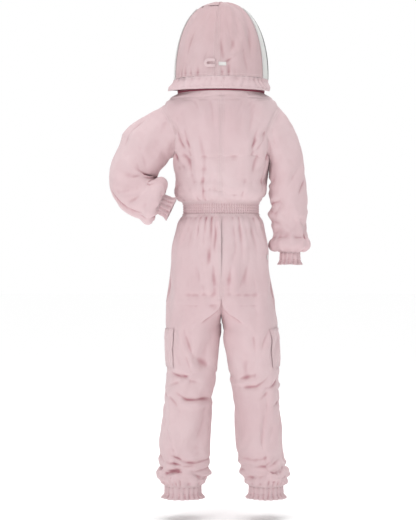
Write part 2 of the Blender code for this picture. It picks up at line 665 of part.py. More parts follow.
def sleeve_rings(arm: ArmPath, start: float, end: float, count: int) -> list[Ring]:
    """Sections spread evenly between two distances."""
    distances = [start + (end - start) * i / count for i in range(count + 1)]
    return [arm.ring(d, sleeve_width(arm, d), sleeve_width(arm, d) * 1.06) for d in distances]


def armhole_loop(side: int, inset: float) -> list[Vector]:
    """The sleeve's edge, lying on the bodice round the armhole."""
    loop = []
    for i in range(RING_POINTS):
        angle = 2 * math.pi * i / RING_POINTS
        z = ARMHOLE_Z + (ARMHOLE_HALF_HEIGHT - inset) * math.cos(angle)
        y = (ARMHOLE_HALF_DEPTH - inset) * math.sin(angle)
        loop.append(Vector((side * (side_surface(y, z) + ARMHOLE_STAND_OFF), y, z)))
    return loop


def sleeve_head(arm: ArmPath, pivot: Vector) -> None:
    """The shoulder of the sleeve: a smooth loft from the armhole to the first ring below it."""
    last = sleeve_rings(arm, 0, 0.02, 1)[0].moved(-GAP / 2)
    rows = 4
    grids = []
    for inset in (0.0, CLOTH):
        start_loop = armhole_loop(arm.side, inset)
        turns = [2 * math.pi * i / RING_POINTS for i in range(RING_POINTS)]
        end_loop = [last.point(t if arm.side == LEFT else math.pi - t, inset) for t in turns]
        grid = []
        for r in range(rows + 1):
            t = r / rows
            row = []
            for a, b in zip(start_loop, end_loop):
                reach = (b - a).length * 0.9
                leave = Vector((arm.side, 0, 0)) * reach
                arrive = last.normal * reach
                row.append(a * (2 * t ** 3 - 3 * t ** 2 + 1) + leave * (t ** 3 - 2 * t ** 2 + t)
                           + b * (3 * t ** 2 - 2 * t ** 3) + arrive * (t ** 3 - t ** 2))
            grid.append(row)
        grids.append(grid)
    loft_shell(f"sleeve_head_{SIDE_NAMES[arm.side]}", grids[0], grids[1], "pink_cotton", pivot=pivot)


def build_sleeve(arm: ArmPath) -> None:
    """Head, upper sleeve, elbow, forearm and cuff along one arm."""
    word = SIDE_NAMES[arm.side]
    shoulder = Vector((arm.side * (SHOULDER_HALF_WIDTH - 0.010), 0, -0.030))
    elbow_span = max(arm.bend * arm.radius, 0.13)
    elbow_start = arm.upper + (arm.bend * arm.radius - elbow_span) / 2
    elbow_end = elbow_start + elbow_span
    elbow = arm.frame((elbow_start + elbow_end) / 2)[0]
    sleeve_head(arm, shoulder)
    limb_section(f"upper_sleeve_{word}", sleeve_rings(arm, 0, elbow_start, 2), shoulder)
    limb_section(f"elbow_{word}", sleeve_rings(arm, elbow_start, elbow_end, 6), elbow)
    limb_section(f"forearm_{word}", sleeve_rings(arm, elbow_end, arm.length, 4), elbow)
    end = arm.ring(arm.length, CUFF_HALF_WIDTH, CUFF_HALF_WIDTH)
    limb_section(f"cuff_{word}", [end, end.moved(CUFF_LENGTH)], elbow)


# ---- Trousers -------------------------------------------------------------------------------------
@dataclass(frozen=True)
class LegSection:
    """A leg's section below the crotch, as shares of the leg's length and distances from centre."""
    share: float
    centre_x: float
    half_width: float
    centre_y: float
    half_depth: float


LEG_SECTIONS = {
    LEFT: (
        LegSection(LEG_TOP_SHARE, 0.104, 0.0970, -0.006, 0.128),
        LegSection(0.28, 0.108, 0.0880, -0.008, 0.108),
        LegSection(0.50, 0.128, 0.0800, -0.004, 0.094),
        LegSection(0.75, 0.137, 0.0820, 0.004, 0.092),
        LegSection(0.93, 0.133, 0.0780, 0.008, 0.088),
        LegSection(1.0, 0.131, 0.0660, 0.010, 0.076),
    ),
    RIGHT: (
        LegSection(LEG_TOP_SHARE, 0.108, 0.0990, -0.006, 0.128),
        LegSection(0.28, 0.121, 0.0880, -0.008, 0.108),
        LegSection(0.50, 0.134, 0.0780, -0.004, 0.094),
        LegSection(0.75, 0.142, 0.0770, 0.004, 0.092),
        LegSection(0.93, 0.152, 0.0740, 0.008, 0.088),
        LegSection(1.0, 0.155, 0.0620, 0.010, 0.076),
    ),
}


def leg_ring(side: int, share: float) -> Ring:
    """The leg's section at a share of its length, drawn straight between its two neighbours."""
    sections = LEG_SECTIONS[side]
    for upper, lower in zip(sections, sections[1:]):
        if share <= lower.share:
            break
    t = (share - upper.share) / (lower.share - upper.share)
    mix = [a + (b - a) * t for a, b in (
        (upper.centre_x, lower.centre_x), (upper.half_width, lower.half_width),
        (upper.centre_y, lower.centre_y), (upper.half_depth, lower.half_depth))]
    centre = Vector((side * mix[0], mix[2], CROTCH_Z - LEG_LENGTH * share))
    return Ring(centre, Vector((1, 0, 0)), mix[1], mix[3])


def leg_top_row(side: int, z: float, share: float, inset: float) -> list[Vector]:
    """A row between the half-oval under the seat (share 0) and the leg's first ring (share 1)."""
    seat = SEAT_SECTIONS[-1]
    ring = leg_ring(side, LEG_SECTIONS[side][0].share)
    middle = (seat.back - seat.front) / 2
    half_depth = (seat.back + seat.front) / 2 - inset
    row = []
    for i in range(RING_POINTS):
        angle = 2 * math.pi * i / RING_POINTS
        wide = max((seat.half_width - inset) * math.cos(angle), GAP / 2 + inset)
        oval = Vector((wide, middle + half_depth * math.sin(angle), z))
        round_ = Ring(Vector((abs(ring.centre.x), ring.centre.y, z)), ring.across, ring.half_width,
                      ring.half_depth).point(angle, inset)
        row.append(mirrored(oval.lerp(round_, share), side))
    return row


def build_leg(side: int) -> None:
    """Seat half, leg top, thigh, knee, shin and ankle cuff on one side, with the thigh pocket."""
    word = SIDE_NAMES[side]
    body_panel(f"seat_{word}", SEAT_SECTIONS, side, 0, None, steps=2 * QUARTER_POINTS)
    hip = Vector((side * 0.105, 0, HIP_AXIS_Z))
    top_z, end_z = SEAT_BASE_Z, CROTCH_Z - LEG_LENGTH * LEG_SECTIONS[side][0].share
    shares = (0.0, 0.12, 0.5, 0.85, 1.0)
    drops = (0.0, 0.3, 0.62, 0.85, 1.0)
    heights = [top_z + (end_z + GAP / 2 - top_z) * d for d in drops]
    grids = [[leg_top_row(side, z, s, inset) for z, s in zip(heights, shares)]
             for inset in (0.0, CLOTH)]
    loft_shell(f"leg_top_{word}", grids[0], grids[1], "pink_cotton", pivot=hip)
    knee = Vector((leg_ring(side, KNEE_SHARE).centre.x, 0, CROTCH_Z - LEG_LENGTH * KNEE_SHARE))
    spans = {"thigh": (LEG_TOP_SHARE, KNEE_TOP_SHARE, 2, hip),
             "knee": (KNEE_TOP_SHARE, KNEE_BASE_SHARE, 2, knee),
             "shin": (KNEE_BASE_SHARE, 1.0, 5, knee)}
    for part, (start, end, count, pivot) in spans.items():
        rings = [leg_ring(side, start + (end - start) * i / count) for i in range(count + 1)]
        limb_section(f"{part}_{word}", rings, pivot)
    hem = leg_ring(side, 1.0)
    cuff = Ring(hem.centre, hem.across, hem.half_width - 0.004, hem.half_depth - 0.004)
    limb_section(f"ankle_cuff_{word}", [cuff, cuff.moved(ANKLE_CUFF_HEIGHT)], knee)
    build_thigh_pocket(side, hip)


def build_thigh_pocket(side: int, pivot: Vector) -> None:
    """A patch pocket on the outside of the thigh."""
    top = LEG_TOP_SHARE * LEG_LENGTH + 0.004
    rows, steps = 3, 6
    half = THIGH_POCKET_HALF_ANGLE
    middle = 0.0 if side == LEFT else math.pi
    outer, inner = [], []
    height = min(THIGH_POCKET_HEIGHT, (KNEE_TOP_SHARE - LEG_TOP_SHARE) * LEG_LENGTH - 0.008)
    for r in range(rows + 1):
        ring = leg_ring(side, (top + height * r / rows) / LEG_LENGTH)
        angles = [middle - half + 2 * half * i / steps for i in range(steps + 1)]
        outer.append([ring.point(a, -SEWN_ON - 0.0015) for a in angles])
        inner.append([ring.point(a, -SEWN_ON) for a in angles])
    loft_shell(f"thigh_pocket_{SIDE_NAMES[side]}", outer, inner, "pink_cotton", closed=False,
               pivot=pivot)


def build_hip_tag() -> None:
    """A small blank tag in the right hip seam."""
    z = WAISTBAND_BASE_Z - RISE * 0.42
    section = body_half_width(SEAT_SECTIONS, z)
    angle = math.radians(72)
    point = mirrored(section.point(angle, -0.0035), RIGHT)
    add_box("hip_tag", (0.010, 0.0010, 0.016), point, "white_cotton", turn=math.radians(66))


# ---- The suit -------------------------------------------------------------------------------------
for leftover in list(bpy.data.objects):
    bpy.data.objects.remove(leftover, do_unlink=True)
PARTS = make_collection("beekeeping_suit")
CUTTERS = make_collection("cutters")
MATERIALS = {name: make_material(name) for name in FINISHES}

build_hood()
build_neck_zip()
build_front_zip()
build_throat_flap()
build_collar()
build_bodice()
build_chest_pocket()
build_waistband()
for arm_path in (AKIMBO, HANGING):
    build_sleeve(arm_path)
for leg_side in (LEFT, RIGHT):
    build_leg(leg_side)
build_hip_tag()
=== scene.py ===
"""A hooded one-piece beekeeping suit, as worn: cotton body, elastic waist and cuffs, zips, and a mesh veil.

The bodice, trouser and sleeve patches start as coarse grids of points, are settled by a short cloth simulation,
are refined to fine grids and are then folded; every cloth patch is seamed and given a second wall.
"""
import logging
import math
from dataclasses import dataclass, field
from enum import Enum
from typing import Iterable

import bpy
import numpy as np
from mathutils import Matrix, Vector


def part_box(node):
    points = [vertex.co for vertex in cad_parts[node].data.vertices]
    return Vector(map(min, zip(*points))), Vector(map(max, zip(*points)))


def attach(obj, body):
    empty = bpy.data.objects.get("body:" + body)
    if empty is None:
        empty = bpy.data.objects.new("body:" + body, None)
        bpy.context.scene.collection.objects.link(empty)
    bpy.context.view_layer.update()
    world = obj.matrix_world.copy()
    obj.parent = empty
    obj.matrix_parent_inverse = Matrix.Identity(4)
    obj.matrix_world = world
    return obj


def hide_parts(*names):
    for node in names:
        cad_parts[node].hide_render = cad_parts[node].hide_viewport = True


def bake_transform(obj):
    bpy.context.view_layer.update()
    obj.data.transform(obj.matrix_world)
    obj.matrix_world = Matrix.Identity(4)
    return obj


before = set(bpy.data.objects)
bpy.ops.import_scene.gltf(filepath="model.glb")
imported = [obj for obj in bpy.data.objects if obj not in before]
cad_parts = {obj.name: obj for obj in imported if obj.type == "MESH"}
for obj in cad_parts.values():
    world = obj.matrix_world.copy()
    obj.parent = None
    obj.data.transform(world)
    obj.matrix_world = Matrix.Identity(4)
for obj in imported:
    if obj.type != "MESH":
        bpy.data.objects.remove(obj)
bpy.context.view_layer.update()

LOG = logging.getLogger("suit")

Array = np.ndarray
Colour = tuple[float, float, float]
LEFT, RIGHT = 1, -1
WORD = {LEFT: "left", RIGHT: "right"}
CLOTH = 0.0011              # a cotton wall, in metres
RIBBED = 0.0016             # a gathered band's wall
REFINE = 3                  # fine cells along each side of a coarse one
WELD = 2e-5                 # points this close are one
SEED = 11
LATTICE = 32                # cells after which the noise repeats


# ---- Numbers on grids -------------------------------------------------------------------------------
def turns(count: int) -> Array:
    """Angles of a number of even steps round a circle, from 0."""
    return 2 * np.pi * np.arange(count) / count


def xyz(x: Array | float, y: Array | float, z: Array | float) -> Array:
    """Points from their coordinates, stretched to one shape."""
    return np.stack(np.broadcast_arrays(x, y, z), -1)


def hermite(t: Array, start: Array, leave: Array, end: Array, arrive: Array) -> Array:
    """Cubic from start to end as t runs from 0 to 1, with given slopes at its ends."""
    return ((2 * t**3 - 3 * t**2 + 1) * start + (t**3 - 2 * t**2 + t) * leave
            + (3 * t**2 - 2 * t**3) * end + (t**3 - t**2) * arrive)


def grid_faces(rows: int, columns: int, wrap_columns: bool, wrap_rows: bool = False) -> Array:
    """Corner indices of a grid's faces, which may wrap round either way."""
    index = np.arange(rows * columns).reshape(rows, columns)
    if wrap_columns:
        index = np.concatenate([index, index[:, :1]], 1)
    if wrap_rows:
        index = np.concatenate([index, index[:1]], 0)
    return np.stack([index[:-1, :-1], index[:-1, 1:], index[1:, 1:], index[1:, :-1]], -1).reshape(-1, 4)


def through(knots: Iterable[float], values: Iterable[float], at: Array) -> Array:
    """Smooth curve through given values: in each span a cubic whose end slopes are the local mean slopes.

    Args:
        knots: places of the values, in any order.
        values: the values there.
        at: places to read the curve at.

    Returns:
        The curve's values at those places.
    """
    x, y = np.asarray(list(knots), float), np.asarray(list(values), float)
    order = np.argsort(x)
    x, y = x[order], y[order]
    slope = np.gradient(y, x)
    i = np.clip(np.searchsorted(x, at) - 1, 0, len(x) - 2)
    h = x[i + 1] - x[i]
    t = np.clip((at - x[i]) / h, 0, 1)
    return hermite(t, y[i], h * slope[i], y[i + 1], h * slope[i + 1])


def step(low: float, high: float, value: Array) -> Array:
    """Smooth step from 0 at low to 1 at high; low may be above high."""
    t = np.clip((value - low) / (high - low), 0, 1)
    return t * t * (3 - 2 * t)


def bump(value: Array, middle: float | Array, width: float | Array) -> Array:
    """Gaussian hill of height 1 about a middle."""
    return np.exp(-(((value - middle) / width) ** 2))


@dataclass(frozen=True)
class Noise:
    """Value noise: random numbers on a lattice that repeats, joined by quintic steps."""
    seed: int

    def __call__(self, x: Array, y: Array, z: Array) -> Array:
        """Noise from about -1 to 1 at points given in lattice cells."""
        table = np.random.default_rng(SEED + self.seed).uniform(-1, 1, (LATTICE,) * 3)
        p = xyz(x, y, z)
        cell = np.floor(p).astype(int)
        f = p - cell
        f = f**3 * (f * (f * 6 - 15) + 10)
        total = np.zeros(p.shape[:-1])
        for corner in range(8):
            bits = np.array([corner & 1, corner >> 1 & 1, corner >> 2 & 1])
            weight = np.prod(np.where(bits, f, 1 - f), -1)
            index = (cell + bits) % LATTICE
            total += weight * table[index[..., 0], index[..., 1], index[..., 2]]
        return total


@dataclass(frozen=True)
class Creases:
    """A scatter of short folds: each is a narrow valley with a softer ridge beside it, on a slightly bent line."""
    count: int
    seed: int
    across: tuple[float, float]         # range of their middles across the cloth
    down: tuple[float, float]           # range of their middles in height or along a limb
    heading: float                      # degrees from level
    spread: float
    length: tuple[float, float]
    width: tuple[float, float]
    depth: float
    girth: float = 0.0                  # distance at which the cloth wraps round, or 0

    def __call__(self, s: Array, t: Array) -> Array:
        """Height of the folds at places s across and t up the cloth, in metres."""
        draw = np.random.default_rng(SEED + self.seed)
        total = np.zeros(np.broadcast(s, t).shape)
        for _ in range(self.count):
            off = s - draw.uniform(*self.across)
            if self.girth:
                off = (off + self.girth / 2) % self.girth - self.girth / 2
            rise = t - draw.uniform(*self.down)
            turn = math.radians(self.heading + self.spread * draw.uniform(-1, 1))
            along = off * math.cos(turn) + rise * math.sin(turn)
            aside = rise * math.cos(turn) - off * math.sin(turn) + draw.uniform(-3.5, 3.5) * along**2
            long_, wide = draw.uniform(*self.length), draw.uniform(*self.width)
            sign = draw.choice((-1, 1))
            shape = 0.62 * bump(aside, sign * 1.9 * wide, 1.5 * wide) - bump(aside, 0.0, wide)
            total += self.depth * draw.uniform(0.55, 1.0) * shape * bump(along, 0.0, long_)
        return total


def refining(count: int, factor: int, closed: bool) -> Array:
    """Weights that refine a row of points by Catmull-Rom curves through them.

    Args:
        count: number of coarse points.
        factor: fine spans in one coarse span.
        closed: whether the row wraps round.

    Returns:
        A matrix of fine points by coarse points.
    """
    fine = count * factor if closed else (count - 1) * factor + 1
    t = np.arange(fine) / factor
    base = np.floor(t).astype(int)
    if not closed:
        base = np.minimum(base, count - 2)
    f = t - base
    weights = np.stack([-f + 2 * f**2 - f**3, 2 - 5 * f**2 + 3 * f**3, f + 4 * f**2 - 3 * f**3, f**3 - f**2], -1) / 2
    matrix = np.zeros((fine, count))
    rows = np.arange(fine)
    for k in range(4):
        index = base + k - 1
        if closed:
            np.add.at(matrix, (rows, index % count), weights[:, k])
            continue
        inside = (index >= 0) & (index < count)
        np.add.at(matrix, (rows[inside], index[inside]), weights[inside, k])
        for off, edge, next_in in ((index < 0, 0, 1), (index >= count, count - 1, count - 2)):
            np.add.at(matrix, (rows[off], np.full(off.sum(), edge)), 2 * weights[off, k])
            np.add.at(matrix, (rows[off], np.full(off.sum(), next_in)), -weights[off, k])
    return matrix


def refined_grid(grid: Array, factor: int, closed: bool = False) -> Array:
    """A grid with finer cells, on Catmull-Rom curves through its points."""
    rows, columns = refining(grid.shape[0], factor, False), refining(grid.shape[1], factor, closed)
    return np.einsum("ri,cj,ijk->rck", rows, columns, grid)


@dataclass
class Patch:
    """A grid of cloth: rows run down the suit, columns run round it."""
    name: str
    points: Array                       # rows, columns, 3
    axis: Array                         # rows, 3: the patch's inside, which its normals point away from
    closed: bool = False                # whether the columns wrap round
    pins: Array | None = None           # 1 where the simulation must not move the cloth
    normals: Array | None = None
    sign: float = field(default=1.0, init=False)    # -1 where the grid runs the other way round

    def __post_init__(self) -> None:
        """Find which way round the grid faces."""
        if self.pins is None:
            self.pins = np.zeros(self.points.shape[:2])
        across, down = self.spans()
        away = self.points - self.axis[:, None, :]
        self.sign = float(np.sign((np.cross(across, down) * away).sum()))

    def spans(self) -> tuple[Array, Array]:
        """Steps across the columns and down the rows at each point."""
        p = self.points
        across = (np.roll(p, -1, 1) - np.roll(p, 1, 1)) if self.closed else np.gradient(p, axis=1)
        return across, np.gradient(p, axis=0)

    def quads(self) -> Array:
        """Corner indices of the grid's faces, outward."""
        quads = grid_faces(*self.points.shape[:2], self.closed)
        return quads if self.sign > 0 else quads[:, ::-1]

    def refined(self, factor: int = REFINE) -> "Patch":
        """The same patch with finer cells, on Catmull-Rom curves through the coarse points."""
        axis = refining(len(self.axis), factor, False) @ self.axis
        return Patch(self.name, refined_grid(self.points, factor, self.closed), axis, self.closed)

    def cut(self) -> tuple[Array, Array]:
        """Lengths along the cloth in metres: across from the first column, and down from the first row."""
        p = np.concatenate([self.points, self.points[:, :1]], 1) if self.closed else self.points
        across = np.linalg.norm(np.diff(p, axis=1), axis=-1).mean(0)
        down = np.linalg.norm(np.diff(p, axis=0), axis=-1).mean(1)
        return np.concatenate([[0], np.cumsum(across)]), np.concatenate([[0], np.cumsum(down)])

    def area(self) -> float:
        """Area of the patch in square metres."""
        q = self.points.reshape(-1, 3)[self.quads()]
        return float(np.linalg.norm(np.cross(q[:, 2] - q[:, 0], q[:, 3] - q[:, 1]), axis=1).sum() / 2)

    def push(self, move: Array) -> None:
        """Move the points along their normals."""
        self.points = self.points + self.normals * move[..., None]


class Net:
    """Patches welded into one net, in which points at the same place are one."""

    def __init__(self, patches: list[Patch]) -> None:
        """Number the welded points, and find their faces and pins."""
        self.patches = patches
        self.stops = np.cumsum([p.pins.size for p in patches])[:-1]
        points = np.concatenate([p.points.reshape(-1, 3) for p in patches])
        keys = np.round(points / WELD).astype(np.int64)
        _, first, number = np.unique(keys, axis=0, return_index=True, return_inverse=True)
        self.number, self.points = number.reshape(-1), points[first]
        parts = np.split(self.number, self.stops)
        self.quads = np.concatenate([part[p.quads()] for part, p in zip(parts, patches)])
        self.pins = np.zeros(len(first))
        np.maximum.at(self.pins, self.number, np.concatenate([p.pins.reshape(-1) for p in patches]))

    def spread(self, values: Array) -> list[Array]:
        """Vectors at the welded points, given back to each patch in the shape of its grid."""
        parts = np.split(values[self.number], self.stops)
        return [part.reshape(p.points.shape) for part, p in zip(parts, self.patches)]

    def around(self, values: Array) -> Array:
        """Mean of the vectors at each point's neighbours."""
        edges = np.concatenate([self.quads[:, [k, (k + 1) % 4]] for k in range(4)])
        edges = np.concatenate([edges, edges[:, ::-1]])
        total = np.zeros_like(values)
        np.add.at(total, edges[:, 0], values[edges[:, 1]])
        return total / np.maximum(np.bincount(edges[:, 0], minlength=len(values)), 1)[:, None]

    def place(self, points: Array) -> None:
        """Put the patches' points at new places of the welded points."""
        for patch, grid in zip(self.patches, self.spread(points)):
            patch.points = grid


def set_normals(patches: list[Patch]) -> None:
    """Give each point the area-weighted mean normal of all faces round it, across seams too."""
    net = Net(patches)
    q = np.concatenate([p.points.reshape(-1, 3)[p.quads()] for p in patches])
    face = np.cross(q[:, 2] - q[:, 0], q[:, 3] - q[:, 1])
    total = np.zeros_like(net.points)
    for corner in net.quads.T:
        np.add.at(total, corner, face)
    total /= np.maximum(np.linalg.norm(total, axis=1, keepdims=True), 1e-12)
    for patch, normals in zip(patches, net.spread(total)):
        patch.normals = normals


def shown(name: str, data: bpy.types.ID) -> bpy.types.Object:
    """A new object of some data, in the scene."""
    obj = bpy.data.objects.new(name, data)
    bpy.context.scene.collection.objects.link(obj)
    return obj


CLOTH_RULES = {
    "quality": 5, "mass": 0.25, "tension_stiffness": 18, "compression_stiffness": 18, "shear_stiffness": 5,
    "bending_stiffness": 0.35, "tension_damping": 12, "compression_damping": 12, "air_damping": 4,
    "vertex_group_mass": "held", "pin_stiffness": 0.6, "shrink_min": -0.045}    # it is 4.5 % too large
GRAVITY = 0.35              # share of real gravity
LEAST_HELD = 0.035          # every point is held a little


def settle(patches: list[Patch], frames: int = 22, most: float = 0.016) -> None:
    """Let the welded coarse cloth buckle: it is made a little too large for its shape and hangs from its pins.

    Args:
        patches: coarse patches, whose points are moved.
        frames: steps of the simulation.
        most: furthest that a point may move, in metres.
    """
    net = Net(patches)
    start, free = net.points, 1 - net.pins
    uneven = Noise(3)(*(start / 0.045).T) * 0.0016
    outward = start * np.array([1, 1, 0])
    outward /= np.maximum(np.linalg.norm(outward, axis=1, keepdims=True), 1e-9)
    mesh = bpy.data.meshes.new("settling")
    mesh.from_pydata((start + outward * (uneven * free)[:, None]).tolist(), [], net.quads.tolist())
    obj = shown("settling", mesh)
    group = obj.vertex_groups.new(name="held")
    held = np.round(np.clip(net.pins * (1 - LEAST_HELD) + LEAST_HELD, 0, 1), 3)
    for weight in np.unique(held):
        group.add(np.flatnonzero(held == weight).tolist(), float(weight), "REPLACE")
    cloth = obj.modifiers.new("cloth", "CLOTH")
    for key, value in CLOTH_RULES.items():
        setattr(cloth.settings, key, value)
    cloth.settings.effector_weights.gravity = GRAVITY
    cloth.point_cache.frame_start, cloth.point_cache.frame_end = 1, frames
    scene = bpy.context.scene
    for now in range(1, frames + 1):
        scene.frame_set(now)
    settled = obj.evaluated_get(bpy.context.evaluated_depsgraph_get())
    moved = np.empty(start.size)
    settled.data.vertices.foreach_get("co", moved)
    moved = moved.reshape(-1, 3) - start
    for _ in range(2):
        moved = 0.5 * moved + 0.5 * net.around(moved)
    far = np.linalg.norm(moved, axis=1, keepdims=True)
    moved *= most * np.tanh(far / most) / np.maximum(far, 1e-9) * (free > 0)[:, None]
    bpy.data.objects.remove(obj)
    bpy.data.meshes.remove(mesh)
    scene.frame_set(1)
    LOG.info("settled %d points, mean move %.1f mm", len(start), 1000 * far.mean())
    net.place(start + moved)


def soften(patches: list[Patch], line: Array, reach: float = 0.030, passes: int = 10) -> None:
    """Round off the welded cloth near a line: points move to their neighbours' mean, by a Gaussian of distance.

    Args:
        patches: patches, whose points are moved.
        line: points of the line.
        reach: distance at which the rounding fades, in metres.
        passes: times that it is done.
    """
    net = Net(patches)
    points = net.points
    far = np.linalg.norm(points[:, None] - line[None, ::2], axis=-1).min(1)
    weight = (0.75 * bump(far, 0.0, reach) * (net.pins < 1))[:, None]
    for _ in range(passes):
        points = points + weight * (net.around(points) - points)
    net.place(points)


# Painted shade: these set how deep a fold must be, and at what scales, for the cloth's colour to be darkened there.
FOLD_SHADE_SCALES = ((1, 420.0), (3, 150.0))      # cells away, and how strongly a rise of a metre counts
UNSHADED_FOLD_DEPTH = 0.10              # folds less deep than this don't show


def fold_shade_depth(patch: Patch) -> Array:
    """How deep each point lies in a fold, from 0 to 1: the height of its surroundings above it, at two scales. It is
    the mask for the painted shade that darkens the cloth's colour in its folds.
    """
    rows, columns = patch.points.shape[:2]
    total = np.zeros((rows, columns))
    for reach, gain in FOLD_SHADE_SCALES:
        p = np.pad(patch.points, ((reach, reach), (0, 0), (0, 0)), "edge")
        p = np.pad(p, ((0, 0), (reach, reach), (0, 0)), "wrap" if patch.closed else "edge")
        high, wide = slice(reach, reach + rows), slice(reach, reach + columns)
        around = (p[:rows, wide] + p[2 * reach:, wide] + p[high, :columns] + p[high, 2 * reach:]) / 4
        rise = ((around - patch.points) * patch.normals).sum(-1)
        rise[:reach] = rise[-reach:] = 0
        if not patch.closed:
            rise[:, :reach] = rise[:, -reach:] = 0
        total += np.clip(rise * gain, -0.3, 1)
    return np.clip((total - UNSHADED_FOLD_DEPTH) * 1.15, 0, 1)


@dataclass(frozen=True)
class Sewn:
    """Where a patch's seams lie: along its first and last rows, its side edges, and chosen columns."""
    top: bool = True
    base: bool = True
    columns: tuple[int, ...] = ()

    def distance(self, patch: Patch, across: Array, down: Array) -> Array:
        """Distance of every point from the nearest seam, in metres."""
        count = patch.points.shape[1]
        side = np.full(count, 1.0)
        if not patch.closed:
            side = np.minimum(across[:count], across[-1] - across[:count])
        for column in self.columns:
            side = np.minimum(side, np.abs(across[:count] - across[column]))
        level = np.full(len(down), 1.0)
        if self.top:
            level = np.minimum(level, down)
        if self.base:
            level = np.minimum(level, down[-1] - down)
        return np.minimum(side[None, :], level[:, None])


def add_mesh(name: str, points: Array, faces: Array | list, material: bpy.types.Material) -> bpy.types.Object:
    """Put points and faces into a new smooth object at the origin.

    Args:
        name: the object's name.
        points: any grid of points.
        faces: rows of corner indices.
        material: its only material.

    Returns:
        The new object.
    """
    mesh = bpy.data.meshes.new(name)
    mesh.from_pydata(points.reshape(-1, 3).tolist(), [], faces if isinstance(faces, list) else faces.tolist())
    mesh.update()
    mesh.shade_smooth()
    mesh.materials.append(material)
    return shown(name, mesh)


def fit(obj: bpy.types.Object, slot: str, body: str, *nodes: str) -> bpy.types.Object:
    """Attach a piece to the body that it rides and hide the CAD nodes that it stands for."""
    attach(obj, body)
    if nodes:
        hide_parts(*nodes)
    return obj


def add_value(obj: bpy.types.Object, name: str, values: Array) -> None:
    """Store one number at each point of an object."""
    attribute = obj.data.attributes.new(name, "FLOAT", "POINT")
    attribute.data.foreach_set("value", values.reshape(-1).astype(np.float32))


def add_cut(obj: bpy.types.Object, uv: Array) -> None:
    """Store a place on the flat cut, in metres, at each corner of each face, as the map named cut."""
    layer = obj.data.uv_layers.new(name="cut")
    layer.data.foreach_set("uv", uv.reshape(-1).astype(np.float32))


def walled(patch: Patch, material: bpy.types.Material, wall: float = CLOTH, name: str | None = None,
           rows: slice = slice(None), sewn: Sewn | None = None) -> bpy.types.Object:
    """Make a patch a closed two-walled sheet with rims; the second wall lies inside along the normals.

    Args:
        patch: the fine patch, with its normals.
        material: the cloth.
        wall: distance between the walls.
        name: the object's name, or the patch's.
        rows: the rows to make, for a patch that is split where two bodies meet.
        sewn: where its seams lie; all its edges if not given.

    Returns:
        The sheet.
    """
    across, down = patch.cut()
    # crease is the painted fold shade mask: how deep each point lies in a fold.
    points, normals, crease = patch.points[rows], patch.normals[rows], fold_shade_depth(patch)[rows]
    outer = grid_faces(*points.shape[:2], patch.closed)
    if patch.sign < 0:
        outer = outer[:, ::-1]
    count = points.shape[0] * points.shape[1]
    index = np.arange(count).reshape(points.shape[:2])
    edges = [np.stack([index[0, :-1], index[0, 1:]], -1), np.stack([index[-1, 1:], index[-1, :-1]], -1)]
    if patch.closed:
        edges += [np.array([[index[0, -1], index[0, 0]]]), np.array([[index[-1, 0], index[-1, -1]]])]
    else:
        edges += [np.stack([index[1:, 0], index[:-1, 0]], -1), np.stack([index[:-1, -1], index[1:, -1]], -1)]
    edge = np.concatenate(edges)
    if patch.sign < 0:
        edge = edge[:, ::-1]
    rim = np.stack([edge[:, 1], edge[:, 0], edge[:, 0] + count, edge[:, 1] + count], -1)
    quads = np.concatenate([outer, outer[:, ::-1] + count, rim])
    obj = add_mesh(name or patch.name, np.concatenate([points, points - normals * wall]), quads, material)
    columns = points.shape[1]
    u = across[quads % count % columns]
    v = down[rows][quads % count // columns]
    if patch.closed:
        u = np.where((u.max(1) - u.min(1) > across[-1] / 2)[:, None] & (u < across[-1] / 2), u + across[-1], u)
    add_cut(obj, np.stack([u, v], -1))
    near = (sewn or Sewn()).distance(patch, across, down)[rows]
    # Stored for the painted shade that the cloth's finish lays into folds.
    add_value(obj, "crease", np.tile(crease.reshape(-1), 2))
    add_value(obj, "seam", np.tile(near.reshape(-1), 2))
    both = np.concatenate([normals.reshape(-1, 3), -normals.reshape(-1, 3)])
    obj.data.normals_split_custom_set_from_vertices(both.tolist())
    return obj


def tube(name: str, path: Array, radius: float | Array, sides: int, material: bpy.types.Material,
         closed: bool = False) -> bpy.types.Object:
    """A round cord: a circle carried square to a path.

    The circle's plane is spanned by the path's side direction, square to its run and to a steady reference,
    and the direction square to both.  An open cord's ends are drawn in to a point.

    Args:
        name: the object's name.
        path: points along the middle.
        radius: of the circle, one value or one for each point.
        sides: corners of the circle.
        material: its finish.
        closed: whether the path returns to its start.

    Returns:
        The cord.
    """
    radius = np.broadcast_to(np.asarray(radius, float), (len(path),)).copy()
    if not closed:
        path = np.concatenate([path[:1], path, path[-1:]])
        radius = np.concatenate([[1e-5], radius, [1e-5]])
    run = (np.roll(path, -1, 0) - np.roll(path, 1, 0)) if closed else np.gradient(path, axis=0)
    run /= np.maximum(np.linalg.norm(run, axis=1, keepdims=True), 1e-9)
    reference = np.array([0.31, 0.22, 0.92]) if abs(run[:, 2]).mean() < 0.7 else np.array([0.9, 0.3, 0.1])
    side = np.cross(run, reference)
    side /= np.maximum(np.linalg.norm(side, axis=1, keepdims=True), 1e-9)
    lift = np.cross(side, run)
    a = turns(sides)
    ring = side[:, None] * np.cos(a)[None, :, None] + lift[:, None] * np.sin(a)[None, :, None]
    points = path[:, None] + ring * radius[:, None, None]
    faces = grid_faces(len(path), sides, True, closed)[:, [0, 3, 2, 1]].tolist()
    if not closed:
        last = len(path) * sides
        faces += [list(range(sides)), list(range(last - 1, last - sides - 1, -1))]
    return add_mesh(name, points, faces, material)


